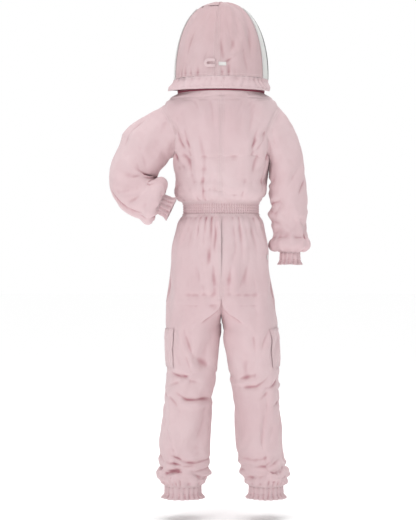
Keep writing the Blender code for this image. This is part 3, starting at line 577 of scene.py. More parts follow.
# ---- Finishes ---------------------------------------------------------------------------------------
class Value:
    """A number socket that takes part in arithmetic: each operation adds one Math node."""

    def __init__(self, nodes: "Nodes", socket: bpy.types.NodeSocket) -> None:
        """Wrap a socket."""
        self.nodes, self.socket = nodes, socket

    def math(self, operation: str, *values: "Value | float") -> "Value":
        """Result of a Math node on the given values."""
        inputs = {i: v for i, v in enumerate(values)}
        return Value(self.nodes, self.nodes.add("Math", {"operation": operation}, inputs).outputs[0])

    def __add__(self, other: "Value | float") -> "Value":
        """Sum."""
        return self.math("ADD", self, other)

    def __sub__(self, other: "Value | float") -> "Value":
        """Difference."""
        return self.math("SUBTRACT", self, other)

    def __rsub__(self, other: float) -> "Value":
        """Difference from a number."""
        return self.math("SUBTRACT", other, self)

    def __mul__(self, other: "Value | float") -> "Value":
        """Product."""
        return self.math("MULTIPLY", self, other)

    def __truediv__(self, other: "Value | float") -> "Value":
        """Quotient."""
        return self.math("DIVIDE", self, other)

    def __gt__(self, other: "Value | float") -> "Value":
        """1 where greater, else 0."""
        return self.math("GREATER_THAN", self, other)

    def __lt__(self, other: "Value | float") -> "Value":
        """1 where less, else 0."""
        return self.math("LESS_THAN", self, other)

    __radd__ = __add__
    __rmul__ = __mul__

    def wave(self, length: float) -> "Value":
        """Sine of this distance with the given wavelength, moved to run from 0 to 1."""
        return self.math("SINE", self * (2 * math.pi / length)) * 0.5 + 0.5

    def clipped(self) -> "Value":
        """Held between 0 and 1."""
        return self.math("MAXIMUM", self.math("MINIMUM", self, 1.0), 0.0)


class Nodes:
    """Builds one material's nodes."""

    def __init__(self, name: str) -> None:
        """Start a material that has a Principled shader."""
        self.material = bpy.data.materials.new(name)
        self.material.use_nodes = True
        self.tree = self.material.node_tree
        self.shader = self.tree.nodes["Principled BSDF"]

    def add(self, kind: str, settings: dict | None = None, inputs: dict | None = None) -> bpy.types.Node:
        """Add a node.

        Args:
            kind: the node's type without its ShaderNode prefix.
            settings: attributes that are set first.
            inputs: values or links of its sockets, by name or number.

        Returns:
            The node.
        """
        node = self.tree.nodes.new("ShaderNode" + kind)
        for key, value in (settings or {}).items():
            setattr(node, key, value)
        for key, value in (inputs or {}).items():
            self.feed(node.inputs[key], value)
        return node

    def feed(self, socket: bpy.types.NodeSocket, value: object) -> None:
        """Link a socket, or set its value."""
        value = value.socket if isinstance(value, Value) else value
        if isinstance(value, bpy.types.NodeSocket):
            self.tree.links.new(value, socket)
            return
        wide = hasattr(value, "__len__") and len(value) == 3 and len(socket.default_value) == 4
        socket.default_value = (*value, 1.0) if wide else value

    def mix(self, factor: "Value | float", first: object, second: object) -> object:
        """Colour between two colours."""
        return self.add("Mix", {"data_type": "RGBA"}, {0: factor, 6: first, 7: second}).outputs[2]

    def noise(self, place: object, scale: float, detail: float = 2.0, roughness: float = 0.55) -> Value:
        """Fractal noise from 0 to 1 at a place."""
        inputs = {"Vector": place, "Scale": scale, "Detail": detail, "Roughness": roughness}
        return Value(self, self.add("TexNoise", {}, inputs).outputs[0])

    def place(self) -> object:
        """Object coordinates."""
        return self.add("TexCoord").outputs["Object"]

    def split(self, vector: object) -> list[Value]:
        """A vector's three numbers."""
        return [Value(self, socket) for socket in self.add("SeparateXYZ", {}, {0: vector}).outputs]

    def cut(self) -> list[Value]:
        """Place on the flat cut, in metres."""
        return self.split(self.add("UVMap", {"uv_map": "cut"}).outputs[0])[:2]

    def stored(self, name: str) -> Value:
        """A number stored at the mesh's points."""
        return Value(self, self.add("Attribute", {"attribute_name": name}).outputs["Fac"])

    def bumped(self, height: Value, distance: float, strength: float = 1.0, under: object = None) -> object:
        """Normal bent by a height field."""
        inputs = {"Height": height, "Distance": distance, "Strength": strength}
        if under is not None:
            inputs["Normal"] = under
        return self.add("Bump", {}, inputs).outputs[0]

    def finish(self, **inputs: object) -> bpy.types.Material:
        """Feed the shader's sockets, named with _ for spaces, and return the material."""
        for key, value in inputs.items():
            self.feed(self.shader.inputs[key.replace("_", " ")], value)
        return self.material


STITCH = 0.0034             # from one stitch to the next
THREAD = 0.00055            # half width of a row of stitches
SEAM_REACH = 0.014          # puckers fade this far from a seam


class Stitching(Enum):
    """How a patch's edges are sewn: distances of the rows of stitches from the seam."""
    TWIN = (0.0022, 0.0085)
    SINGLE = (0.0030,)


@dataclass(frozen=True)
class Cotton:
    """Twill cotton: slanting ribs, soft colour patches, painted shade in folds (colour pulled darker and redder where
    the cloth lies hollow), worn paler ridges, stitches.
    """
    name: str
    colour: Colour
    pale: Colour
    shade: Colour
    # painted shade: the colour laid into the cloth's folds
    fold: Colour
    stitching: Stitching = Stitching.TWIN
    rib: float = 0.0013
    thread: Colour = (0.80, 0.66, 0.66)

    def make(self) -> bpy.types.Material:
        """Build the material."""
        n = Nodes(self.name)
        place = n.place()
        u, v = n.cut()
        crease, seam = n.stored("crease"), n.stored("seam")
        broad, middle, fine = n.noise(place, 4.5, 3.0), n.noise(place, 23.0, 4.0), n.noise(place, 260.0, 3.0)
        colour = n.mix((broad * 2.4 - 0.75).clipped(), self.colour, self.pale)
        colour = n.mix(((middle - 0.5) * 1.6).clipped() * 0.75, colour, self.shade)
        # Painted shade: the crease mask pulls the colour towards the fold colour wherever the cloth lies in a fold.
        depth = (crease * (0.75 + middle * 0.6)).clipped()
        colour = n.mix((depth * 0.85).clipped(), colour, self.fold)
        rib = (u + v * 0.8 + (fine - 0.5) * 0.0007).wave(self.rib)
        yarn = (v - u * 0.25).wave(self.rib * 0.55)
        colour = n.mix(((1 - rib) * 0.11 + (fine - 0.5) * 0.16).clipped(), colour, self.shade)
        worn = (middle - 0.56) * 2.0 * (1 - depth)
        colour = n.mix(worn.clipped() * 0.4, colour, self.pale)
        relief = rib * 0.5 + yarn * 0.22 + fine * 0.35
        pucker = n.noise(place, 120.0, 2.0) * ((SEAM_REACH - seam) / SEAM_REACH).clipped()
        dash = (u + v).wave(STITCH) > 0.24
        sewn = sum(((seam - away).math("ABSOLUTE", seam - away) < THREAD) * dash for away in self.stitching.value)
        colour = n.mix(sewn.clipped() * 0.8, colour, self.thread)
        relief = relief + sewn * 1.6
        normal = n.bumped(relief, 0.00032, 0.75, n.bumped(pucker, 0.0035, 0.55))
        rough = (0.80 + (fine - 0.5) * 0.16 + depth * 0.08).clipped()
        return n.finish(Base_Color=colour, Roughness=rough, Normal=normal, Sheen_Weight=0.22,
                        Sheen_Roughness=0.55, Specular_IOR_Level=0.22)


@dataclass(frozen=True)
class VeilMesh:
    """Stiff black net: square threads with open holes between them, and a faint sheen on the threads."""
    name: str = "black_net"
    pitch: float = 0.0026
    thread: float = 0.42

    def make(self) -> bpy.types.Material:
        """Build the material."""
        n = Nodes(self.name)
        place = n.place()
        u, v = n.cut()
        lean = n.noise(place, 40.0, 2.0) - 0.5
        across = (u + lean * 0.0004).wave(self.pitch)
        down = (v + lean * 0.0004).wave(self.pitch)
        top = across.math("MAXIMUM", across, down)
        solid = ((top - (1 - self.thread)) * 9.0).clipped()
        colour = n.mix(n.noise(place, 90.0, 3.0), (0.010, 0.010, 0.011), (0.045, 0.043, 0.045))
        normal = n.bumped(across + down, 0.0005, 0.8)
        return n.finish(Base_Color=colour, Roughness=0.42 + n.noise(place, 200.0) * 0.2, Normal=normal,
                        Alpha=(solid * 0.72 + 0.26).clipped())


@dataclass(frozen=True)
class Tape:
    """Woven tape or piping: fine cross ribs and a few darker threads."""
    name: str
    colour: Colour
    shade: Colour
    rib: float = 0.0011

    def make(self) -> bpy.types.Material:
        """Build the material."""
        n = Nodes(self.name)
        place = n.place()
        x, y, z = n.split(place)
        fine = n.noise(place, 420.0, 3.0)
        rib = (z + x * 0.7 + y * 0.35 + (fine - 0.5) * 0.0005).wave(self.rib)
        colour = n.mix((n.noise(place, 30.0, 4.0) * 0.7 + (1 - rib) * 0.35).clipped(), self.colour, self.shade)
        normal = n.bumped(rib + fine * 0.6, 0.0003, 0.8)
        return n.finish(Base_Color=colour, Roughness=0.66 + fine * 0.2, Normal=normal, Sheen_Weight=0.15)


@dataclass(frozen=True)
class CastMetal:
    """Nickel-plated zinc: brushed, with dull patches and small scratches."""
    name: str = "plated_zinc"

    def make(self) -> bpy.types.Material:
        """Build the material."""
        n = Nodes(self.name)
        place = n.place()
        dull = n.noise(place, 160.0, 5.0)
        scratch = n.noise(n.add("Mapping", {}, {"Vector": place, "Scale": (900.0, 900.0, 60.0)}).outputs[0], 1.0, 3.0)
        colour = n.mix(dull, (0.66, 0.64, 0.60), (0.42, 0.40, 0.38))
        return n.finish(Base_Color=colour, Metallic=1.0, Roughness=0.22 + dull * 0.22,
                        Normal=n.bumped(scratch + dull, 0.0001, 0.5))


@dataclass(frozen=True)
class Plain:
    """Matt painted board for the floor: near white with a faint grain."""
    name: str
    colour: Colour

    def make(self) -> bpy.types.Material:
        """Build the material."""
        n = Nodes(self.name)
        grain = n.noise(n.place(), 9.0, 4.0)
        shade = tuple(c * 0.97 for c in self.colour)
        return n.finish(Base_Color=n.mix(grain, self.colour, shade), Roughness=0.7 + grain * 0.1,
                        Emission_Color=(1.0, 1.0, 1.0), Emission_Strength=0.10)


class Finishes:
    """The suit's finishes, built once."""

    def __init__(self) -> None:
        """Build them all."""
        # Each fold colour is painted shade: it darkens the cloth in its folds.
        pink = dict(colour=(0.725, 0.530, 0.552), pale=(0.770, 0.600, 0.618), shade=(0.655, 0.445, 0.468),
                    fold=(0.440, 0.165, 0.200))
        hood = dict(colour=(0.640, 0.445, 0.462), pale=(0.700, 0.530, 0.548), shade=(0.550, 0.360, 0.368),
                    fold=(0.360, 0.120, 0.145))
        self.cotton = Cotton("pink_twill", **pink).make()
        self.band = Cotton("pink_band", **pink, stitching=Stitching.SINGLE).make()
        self.hood = Cotton("hood_twill", **hood).make()
        # The fold colour here is the painted shade in the white cloth's folds.
        white = dict(colour=(0.80, 0.80, 0.78), pale=(0.86, 0.86, 0.84), shade=(0.62, 0.62, 0.61),
                     fold=(0.34, 0.32, 0.33))
        self.white = Cotton("white_twill", **white, thread=(0.70, 0.70, 0.69)).make()
        self.tag = Cotton("white_tape_tag", **white, stitching=Stitching.SINGLE, rib=0.0008).make()
        self.net = VeilMesh().make()
        self.piping = Tape("white_piping_cord", (0.84, 0.84, 0.83), (0.62, 0.61, 0.60)).make()
        self.zip_tape = Tape("crimson_tape", (0.40, 0.075, 0.120), (0.25, 0.035, 0.065)).make()
        self.coil = Tape("pink_coil", (0.50, 0.20, 0.25), (0.34, 0.09, 0.13), 0.0006).make()
        self.metal = CastMetal().make()
        self.floor = Plain("pale_floor", (0.96, 0.96, 0.96)).make()


# ---- Body -------------------------------------------------------------------------------------------
@dataclass(frozen=True)
class Girth:
    """Level sections of the body through given heights: half width, and reach forwards and back."""
    heights: tuple[float, ...]
    half_widths: tuple[float, ...]
    backs: tuple[float, ...]
    front: float = 0.148

    def at(self, z: Array) -> tuple[Array, Array, Array]:
        """Half width, middle along Y and half depth at heights."""
        wide, back = through(self.heights, self.half_widths, z), through(self.heights, self.backs, z)
        return wide, (back - self.front) / 2, (back + self.front) / 2

    def point(self, angle: Array, z: Array, side: int = LEFT) -> Array:
        """Points of the oval section at angles from centre back: x = w sin a, y = middle + depth cos a."""
        wide, middle, deep = self.at(z)
        x, y = side * wide * np.sin(angle), middle + deep * np.cos(angle)
        return xyz(x, y, z)


BODICE = Girth((0.0116, -0.006, -0.0449, -0.1311, -0.2208, -0.2898, -0.345),
               (0.178, 0.201, 0.205, 0.187, 0.160, 0.148, 0.133),
               (0.142, 0.142, 0.144, 0.142, 0.134, 0.120, 0.094))
SEAT = Girth((-0.383, -0.418, -0.4775, -0.565, -0.670), (0.133, 0.155, 0.177, 0.181, 0.200),
             (0.093, 0.108, 0.122, 0.132, 0.128))
ZIP_SLOT = 0.0112
GATHER = 0.0265             # spacing of the gathers at the waist


def waist_gathers(patch: Patch, seam_z: float, reach: float, height: float) -> Array:
    """Gathers that fan from the waist seam: ripples round the body, uneven in phase, that die away with distance."""
    x, y, z = np.moveaxis(patch.points, -1, 0)
    far = np.abs(z - seam_z)
    girth = np.arctan2(x, y + 0.02) * 0.135
    uneven = Noise(21)(girth / 0.05, 0.4 * far / 0.05, 0) * 0.010 + Noise(22)(girth / 0.11, far / 0.2, 0) * 0.012
    ripple = np.cos(2 * np.pi * (girth + uneven) / GATHER)
    weight = step(0.0, 0.012, far) * np.exp(-far / reach) * (0.65 + 0.5 * Noise(23)(girth / 0.06, far / 0.12, 0))
    return height * ripple * weight


@dataclass
class Bodice:
    """Four panels from the collar to the waist, open at the armholes and at the front zip."""
    top: float = 0.0116
    base: float = -0.345
    armhole_z: float = -0.091
    armhole_half: tuple[float, float] = (0.095, 0.088)
    columns: int = 15
    armhole_rows: int = 20
    lower_rows: int = 15
    sleeve_lift: float = 0.0030
    panels: dict[tuple[str, int], Patch] = field(default_factory=dict)
    long_folds: Creases = Creases(22, 31, (-0.42, 0.42), (-0.29, -0.05), 90, 9, (0.05, 0.09), (0.009, 0.017), 0.0050)
    drags: Creases = Creases(9, 32, (0.11, 0.21), (-0.20, -0.05), 66, 18, (0.03, 0.06), (0.007, 0.012), 0.0046)

    def heights(self) -> Array:
        """Row heights: closer at the armhole's top and bottom, where its edge is nearly level; even below it."""
        tall = self.armhole_half[0]
        t = np.arange(self.armhole_rows + 1) / self.armhole_rows
        arc = self.armhole_z + tall * (0.45 * np.cos(np.pi * t) + 0.55 * (1 - 2 * t))
        lower = np.linspace(arc[-1], self.base, self.lower_rows + 1)[1:]
        return np.concatenate([[self.top], arc, lower])

    def side_angle(self, z: Array, front: bool) -> Array:
        """Angle of a panel's outer edge: the side seam, or the armhole's oval where it is cut."""
        tall, deep = self.armhole_half
        open_ = np.sqrt(np.clip(1 - ((z - self.armhole_z) / tall) ** 2, 0, 1))
        open_[np.abs(np.abs(z - self.armhole_z) - tall) < 1e-6] = 0
        wide, middle, half = BODICE.at(z)
        seam = middle * step(self.armhole_z - tall, self.base, z)
        edge = np.where(open_ > 0, (-deep if front else deep) * open_, seam)
        return np.arccos(np.clip((edge - middle) / half, -1, 1))

    def build(self) -> list[Patch]:
        """Coarse panels; their waist, neck and zip edges are pinned."""
        z = self.heights()
        wide, middle, _ = BODICE.at(z)
        axis = xyz(0, middle, z)
        share = np.linspace(0, 1, self.columns)
        for side in (LEFT, RIGHT):
            for word, front in (("back", False), ("front", True)):
                outer = self.side_angle(z, front)
                inner = np.pi - np.arcsin(ZIP_SLOT / wide) if front else 0 * z
                angle = outer[:, None] + (inner - outer)[:, None] * share if front else outer[:, None] * share
                grid = BODICE.point(angle, z[:, None], side)
                if front:
                    grid[:, -1, 0] = side * ZIP_SLOT
                edge = 0 if front else -1
                lift = np.sin(np.pi * np.arange(1, self.armhole_rows) / self.armhole_rows)
                grid[2:self.armhole_rows + 1, edge, 0] += side * self.sleeve_lift * lift
                pins = np.zeros(grid.shape[:2])
                pins[:2] = pins[-1] = 1
                pins[1:self.armhole_rows + 2, edge] = 0.55
                if front:
                    pins[:, -2:] = 1
                else:
                    pins[:, 0] = 0.3
                self.panels[word, side] = Patch(f"bodice_{word}_panel_{WORD[side]}", grid, axis, False, pins)
        return list(self.panels.values())

    def armhole(self, side: int) -> Array:
        """The sleeve's edge: from the top round the back to the bottom, and up the front."""
        back = self.panels["back", side].points[self.span(side), -1]
        front = self.panels["front", side].points[self.span(side), 0]
        return np.concatenate([back[:-1], front[::-1][:-1]])

    def span(self, side: int) -> slice:
        """Rows of the armhole in the present grid."""
        factor = (self.panels["back", side].points.shape[0] - 1) // (self.armhole_rows + self.lower_rows + 1)
        return slice(factor, factor * (self.armhole_rows + 1) + 1)

    def refine(self) -> list[Patch]:
        """Replace the panels by finer ones."""
        self.panels = {key: patch.refined() for key, patch in self.panels.items()}
        return list(self.panels.values())

    def fold(self) -> None:
        """Gathers over the waist, a soft overhang, long drag folds from the armholes and down the back."""
        for (word, side), patch in self.panels.items():
            x, y, z = np.moveaxis(patch.points, -1, 0)
            column = np.linspace(0, 1, x.shape[1])[None, :]
            hem = step(self.base, self.base + 0.014, z)
            free = step(0, 0.1, 1 - column) if word == "front" else np.ones_like(column)
            move = waist_gathers(patch, self.base, 0.050, 0.0052)
            move = move + 0.011 * bump(z, self.base + 0.036, 0.026) * hem
            around = np.arctan2(x, y) * 0.15
            move = move + 0.0042 * Noise(31)(x / 0.050, y / 0.08, z / 0.24) * step(0.0, -0.05, z) * hem
            move = move + self.long_folds(around, z) * hem + self.drags(around * side, z)
            move = move + 0.0009 * Noise(33)(x / 0.022, y / 0.05, z / 0.06)
            seam_side = column if word == "back" else 1 - column
            move = move - 0.0024 * np.exp(-(((1 - seam_side) / 0.10) ** 2) * 6)
            move = move - 0.0022 * bump(column, 0.0, 0.035) * (word == "back")
            fixed = step(0, 0.05, np.abs(1 - column)) if word == "front" else 1
            top = step(self.top, 0.002, z)
            patch.push(move * fixed * free * top * hem)

    def dress(self, finishes: Finishes) -> None:
        """Add the panels as sheets of twill."""
        for (word, side), patch in self.panels.items():
            sheet_of(patch, finishes.cotton, "torso", [f"bodice_{word}_{WORD[side]}"], "neck_zip_collar_tape")


def sheet_of(patch: Patch, material: bpy.types.Material, body: str | tuple, stands_for: list[str], rests_on: str,
             name: str | None = None, rows: slice = slice(None), held: str = "gathered", slot: str = "pink_cotton",
             wall: float = CLOTH, sewn: Sewn | None = None) -> bpy.types.Object:
    """Args:
        patch: the fine patch; its normals are found here if it has none.
        material: its finish.
        body: a body, or two bodies with the start and end of the bend between them; only a single body is used, and
            the sheet is attached to it.
        stands_for: CAD nodes that it replaces.
        rests_on: what it is sewn to; not used.
        name: the sheet's name, or the patch's.
        rows: rows of the patch to use.
        held: how the sheet is held; not used.
        slot: the material slot that it takes its finish from; not used.
        wall: the cloth's thickness.
        sewn: where its seams lie.

    Returns:
        The sheet.
    """
    if patch.normals is None:
        set_normals([patch])
    obj = walled(patch, material, wall, name, rows, sewn)
    across, down = patch.cut()
    used = down[rows]
    part = Patch(patch.name, patch.points[rows], patch.axis[rows], patch.closed)
    area = part.area()
    width = max(across[-1], area / (used[-1] - used[0]) * 1.001)
    float(used[-1] - used[0])
    if isinstance(body, str):
        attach(obj, body)
    else:
        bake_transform(obj)
    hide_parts(*stands_for)
    return obj


# ---- Sleeves ----------------------------------------------------------------------------------------
ARM_ROUND = 0.082           # turns angles round a sleeve into distances
HEAD_LENGTH = 0.10          # of the shoulder's loft


@dataclass
class Sleeve:
    """A sleeve: a shoulder lofted from the armhole, a straight, a round bend, a straight, and a drawn-in wrist."""
    side: int
    start: tuple[float, float, float]
    heading: float              # degrees from straight down, outwards
    upper: float
    bend: float                 # degrees turned inwards
    radius: float
    fore: float
    drift: float                # reach along Y at the wrist
    half_widths: tuple[float, float]
    split: float                # distance where the upper piece meets the lower one
    shoulder: tuple             # start and end of the shoulder's bend
    elbow: tuple                # start and end of the elbow's bend
    wrist: float = 0.038
    depth: float = 1.06
    head_rows: int = 10
    spacing: float = 0.0105
    patch: Patch | None = None

    @property
    def length(self) -> float:
        """Length of the centre line."""
        return self.upper + math.radians(self.bend) * self.radius + self.fore

    def centre(self, s: Array) -> tuple[Array, Array]:
        """Centre line and heading at distances s: two straights joined by an arc that turns inwards."""
        start, turn = math.radians(self.heading), math.radians(self.bend)
        straight = np.minimum(s, self.upper)
        turned = np.clip((s - self.upper) / self.radius, 0, turn)
        rest = np.maximum(s - self.upper - turn * self.radius, 0)
        head = start - turned
        x = (math.sin(start) * straight - math.cos(start) * self.radius * (1 - np.cos(turned))
             + math.sin(start) * self.radius * np.sin(turned) + np.sin(head) * rest)
        z = (-math.cos(start) * straight - math.sin(start) * self.radius * (1 - np.cos(turned))
             - math.cos(start) * self.radius * np.sin(turned) - np.cos(head) * rest)
        y = self.drift * step(0, self.length, s)
        return xyz(x * self.side, y, z) + np.array(self.start), head

    def half_width(self, s: Array) -> Array:
        """Eased from the shoulder to the elbow, then drawn in at the wrist."""
        share = s / self.length
        first, full = self.half_widths
        wide = first + (full - first) * np.minimum(share / 0.35, 1)
        pinch = np.clip((share - 0.84) / 0.16, 0, 1)
        return wide + (self.wrist - wide) * pinch**2.6

    def rings(self, s: Array, columns: int) -> Array:
        """Ovals square to the centre line, from the outside of the arm round its back."""
        centre, head = self.centre(s)
        across = xyz(np.cos(head) * self.side, 0, np.sin(head))
        a = turns(columns)
        wide = self.half_width(s)[:, None, None]
        return (centre[:, None] + across[:, None] * wide * np.cos(a)[None, :, None]
                + np.array([0, 1, 0]) * (wide * self.depth * np.sin(a)[None, :, None]))

    def build(self, armhole: Array) -> Patch:
        """Coarse grid: a Hermite loft from the armhole to the first ring, then rings along the arm."""
        count = round(self.length / self.spacing)
        s = np.linspace(0, self.length, count + 1)
        rings = self.rings(s, len(armhole))
        first = rings[0]
        _, head = self.centre(s[:1])
        along = np.array([math.sin(head[0]) * self.side, 0, -math.cos(head[0])])
        t = (np.arange(self.head_rows) / self.head_rows)[:, None, None]
        gap = np.linalg.norm(first - armhole, axis=-1)[None, :, None] * 0.95
        leave = np.array([self.side * 0.62, 0, -0.48]) * gap
        grid = np.concatenate([hermite(t, armhole, leave, first, along * gap), rings])
        centre, _ = self.centre(s)
        share = np.linspace(0, 1, self.head_rows, endpoint=False)[:, None]
        axis = np.concatenate([armhole.mean(0) * (1 - share) + centre[0] * share, centre])
        pins = np.zeros(grid.shape[:2])
        pins[0], pins[-2:] = 0.55, 1
        self.patch = Patch(f"sleeve_{WORD[self.side]}", grid, axis, True, pins)
        return self.patch

    def refine(self, armhole: Array) -> Patch:
        """Replace the grid by a finer one that starts on the bodice's own armhole points."""
        self.patch = self.patch.refined()
        self.patch.points[0] = armhole
        return self.patch

    def distance(self) -> Array:
        """Distance of each fine row along the centre line, negative over the shoulder's loft."""
        rows = self.patch.points.shape[0]
        lofted = self.head_rows * REFINE
        lower = np.linspace(0, self.length, rows - lofted)
        return np.concatenate([np.linspace(-HEAD_LENGTH, 0, lofted, endpoint=False), lower])[:, None]

    def creases(self, middle: float, reach: float, strong: float, seed: int) -> list[Creases]:
        """Fold sets along the arm: inside the bend, round it, below the shoulder, and along the forearm."""
        around, inner = 2 * np.pi * ARM_ROUND, np.pi * ARM_ROUND
        return [
            Creases(9, seed, (inner - 0.05, inner + 0.05), (middle - reach, middle + reach), 0, 9, (0.045, 0.075),
                    (0.006, 0.0095), strong, around),
            Creases(12, seed + 6, (0, around), (middle - 0.07, middle + 0.06), 28, 30, (0.03, 0.06), (0.008, 0.013),
                    strong * 0.55, around),
            Creases(8, seed + 7, (0, around), (-0.03, 0.07), 60, 22, (0.04, 0.08), (0.010, 0.016), 0.0048, around),
            Creases(13, seed + 8, (0, around), (self.length - 0.11, self.length - 0.02), 84, 20, (0.025, 0.05),
                    (0.006, 0.011), 0.0060, around)]

    def fold(self) -> None:
        """Creases across the bend, drag folds below the shoulder, and gathers and a puff above the cuff."""
        patch = self.patch
        x, y, z = np.moveaxis(patch.points, -1, 0)
        s = self.distance()
        a = turns(x.shape[1])[None, :]
        seed = 40 if self.side == LEFT else 60
        girth, across_y = np.cos(a), np.sin(a)
        middle = self.upper + math.radians(self.bend) * self.radius / 2
        reach = 0.055 if self.bend > 45 else 0.075
        strong = 0.0125 if self.bend > 45 else 0.0062
        move = np.zeros_like(x)
        for folds in self.creases(middle, reach, strong, seed):
            move = move + folds(a * ARM_ROUND, s)
        far = self.length - s
        uneven = 0.5 * Noise(seed + 3)(girth * 2, across_y * 2, s / 0.05)
        wrist = np.cos(11 * a + 2.2 * uneven + 1.0) * (0.7 + 0.5 * Noise(seed + 4)(girth * 1.5, across_y * 1.5, 0))
        move = move + 0.0056 * wrist * np.exp(-far / 0.030) * step(0.0, 0.010, far)
        move = move + 0.012 * bump(far, 0.024, 0.020) * step(0, 0.009, far)
        move = move + 0.0008 * Noise(seed + 5)(x / 0.020, y / 0.024, z / 0.020)
        patch.push(move * step(-HEAD_LENGTH, -0.088, s) * step(0, 0.006, far))

    def dress(self, finishes: Finishes) -> None:
        """Add the upper and lower lengths, which share a ring of points."""
        word = WORD[self.side]
        s = self.distance()[:, 0]
        cut = int(np.argmin(np.abs(s - self.split)))
        upper, lower = f"upper_arm_{word}", f"forearm_{word}"
        seams = Sewn(columns=(self.patch.points.shape[1] // 2,))
        sheet_of(self.patch, finishes.cotton, ("torso", upper, *self.shoulder),
                 [f"sleeve_head_{word}", f"upper_sleeve_{word}"], f"bodice_back_panel_{word}",
                 f"sleeve_upper_{word}", slice(0, cut + 1), sewn=seams)
        sheet_of(self.patch, finishes.cotton, (upper, lower, *self.elbow), [f"elbow_{word}", f"forearm_{word}"],
                 f"sleeve_upper_{word}", f"sleeve_lower_{word}", slice(cut, None), sewn=seams)


@dataclass
class Cuff:
    """An elastic cuff: a shirred channel with a frill beyond it, carried along a straight axis."""
    name: str
    centre: tuple[float, float, float]
    along: tuple[float, float, float]       # towards the open end
    across: tuple[float, float, float]
    half_width: float
    half_depth: float
    length: float
    ruffles: int
    seed: int

    def build(self) -> Patch:
        """Fine grid: radius shrinks into the elastic, swells over its ruffles and flares in the frill.

        The ruffles are a cosine round the cuff with an uneven phase; two grooves mark the channel's stitches.
        """
        rows, columns = 40, self.ruffles * 9
        v = np.linspace(0, 1, rows)[:, None]
        a = turns(columns)[None, :]
        ca, sa = np.cos(a), np.sin(a)
        uneven = 1.6 * Noise(self.seed)(ca * 1.6, sa * 1.6, v * 0.7)
        uneven = uneven + 0.5 * Noise(self.seed + 1)(ca * 5, sa * 5, v * 2)
        ripple = np.cos(self.ruffles * a + uneven)
        depth = 0.0014 + 0.0012 * step(0.0, 0.12, v) - 0.0009 * bump(v, 0.30, 0.17) + 0.0022 * step(0.62, 1.0, v)
        lift = -0.0015 * bump(v, 0.30, 0.22) + 0.0055 * step(0.62, 1.0, v) ** 1.4 * self.half_width / 0.038
        lift = lift - 0.0011 * bump(v, 0.10, 0.03) - 0.0013 * bump(v, 0.58, 0.035) + 0.0012 * bump(v, 0.34, 0.16)
        move = lift + depth * ripple * step(-0.05, 0.05, v)
        side = np.cross(self.along, self.across)
        ring = (np.array(self.across) * ((self.half_width + move) * ca)[..., None]
                + side * ((self.half_depth + move) * sa)[..., None])
        wave = 0.0016 * Noise(self.seed + 2)(ca * 1.8, sa * 1.8, 0) * step(0.7, 1, v)
        axis = np.array(self.centre) + np.array(self.along) * (v * self.length)
        points = axis[:, None] + ring + np.array(self.along) * wave[..., None]
        return Patch(self.name, points, axis, True)

    def dress(self, finishes: Finishes, body: str, node: str, sewn_to: str) -> None:
        """Add the cuff as gathered cloth."""
        sheet_of(self.build(), finishes.band, body, [node], sewn_to, wall=RIBBED)


# ---- Trousers ---------------------------------------------------------------------------------------
@dataclass(frozen=True)
class LegShape:
    """One leg's ovals at heights: middle and half width along X, middle and half depth along Y."""
    side: int
    heights: tuple[float, ...]
    middles: tuple[float, ...]
    half_widths: tuple[float, ...]
    depth_middles: tuple[float, ...]
    half_depths: tuple[float, ...]

    def ring(self, angle: Array, z: Array) -> Array:
        """Points at angles from the back towards the leg's outer side."""
        middle, wide = through(self.heights, self.middles, z), through(self.heights, self.half_widths, z)
        y, deep = through(self.heights, self.depth_middles, z), through(self.heights, self.half_depths, z)
        x = self.side * (middle + wide * np.sin(angle))
        return xyz(x, y + deep * np.cos(angle), z)


LEG_ROUND = 0.085           # turns angles round a leg into distances
LEG_MIDDLE = 0.12           # of the bends, from the suit's middle
THIGH_BEND, KNEE_BEND = (-0.736, -0.800), (-0.925, -1.015)      # heights of their starts and ends
LEG_HEIGHTS = (-0.7708, -0.8957, -1.0235, -1.16875, -1.2733, -1.314)
LEGS = {
    LEFT: LegShape(LEFT, LEG_HEIGHTS, (.104, .108, .128, .137, .133, .131), (.097, .088, .080, .082, .078, .066),
                   (-.006, -.008, -.004, .004, .008, .010), (.128, .108, .094, .092, .088, .076)),
    RIGHT: LegShape(RIGHT, LEG_HEIGHTS, (.108, .121, .134, .142, .152, .155), (.099, .088, .078, .077, .074, .062),
                    (-.006, -.008, -.004, .004, .008, .010), (.128, .108, .094, .092, .088, .076)),
}


def leg_bend(side: int, upper: str, lower: str, heights: tuple[float, float]) -> tuple:
    """Two bodies with the start and end of the bend between them, on the middle of a leg."""
    start, end = ((float(side * LEG_MIDDLE), 0, z) for z in heights)
    return upper, lower, start, end


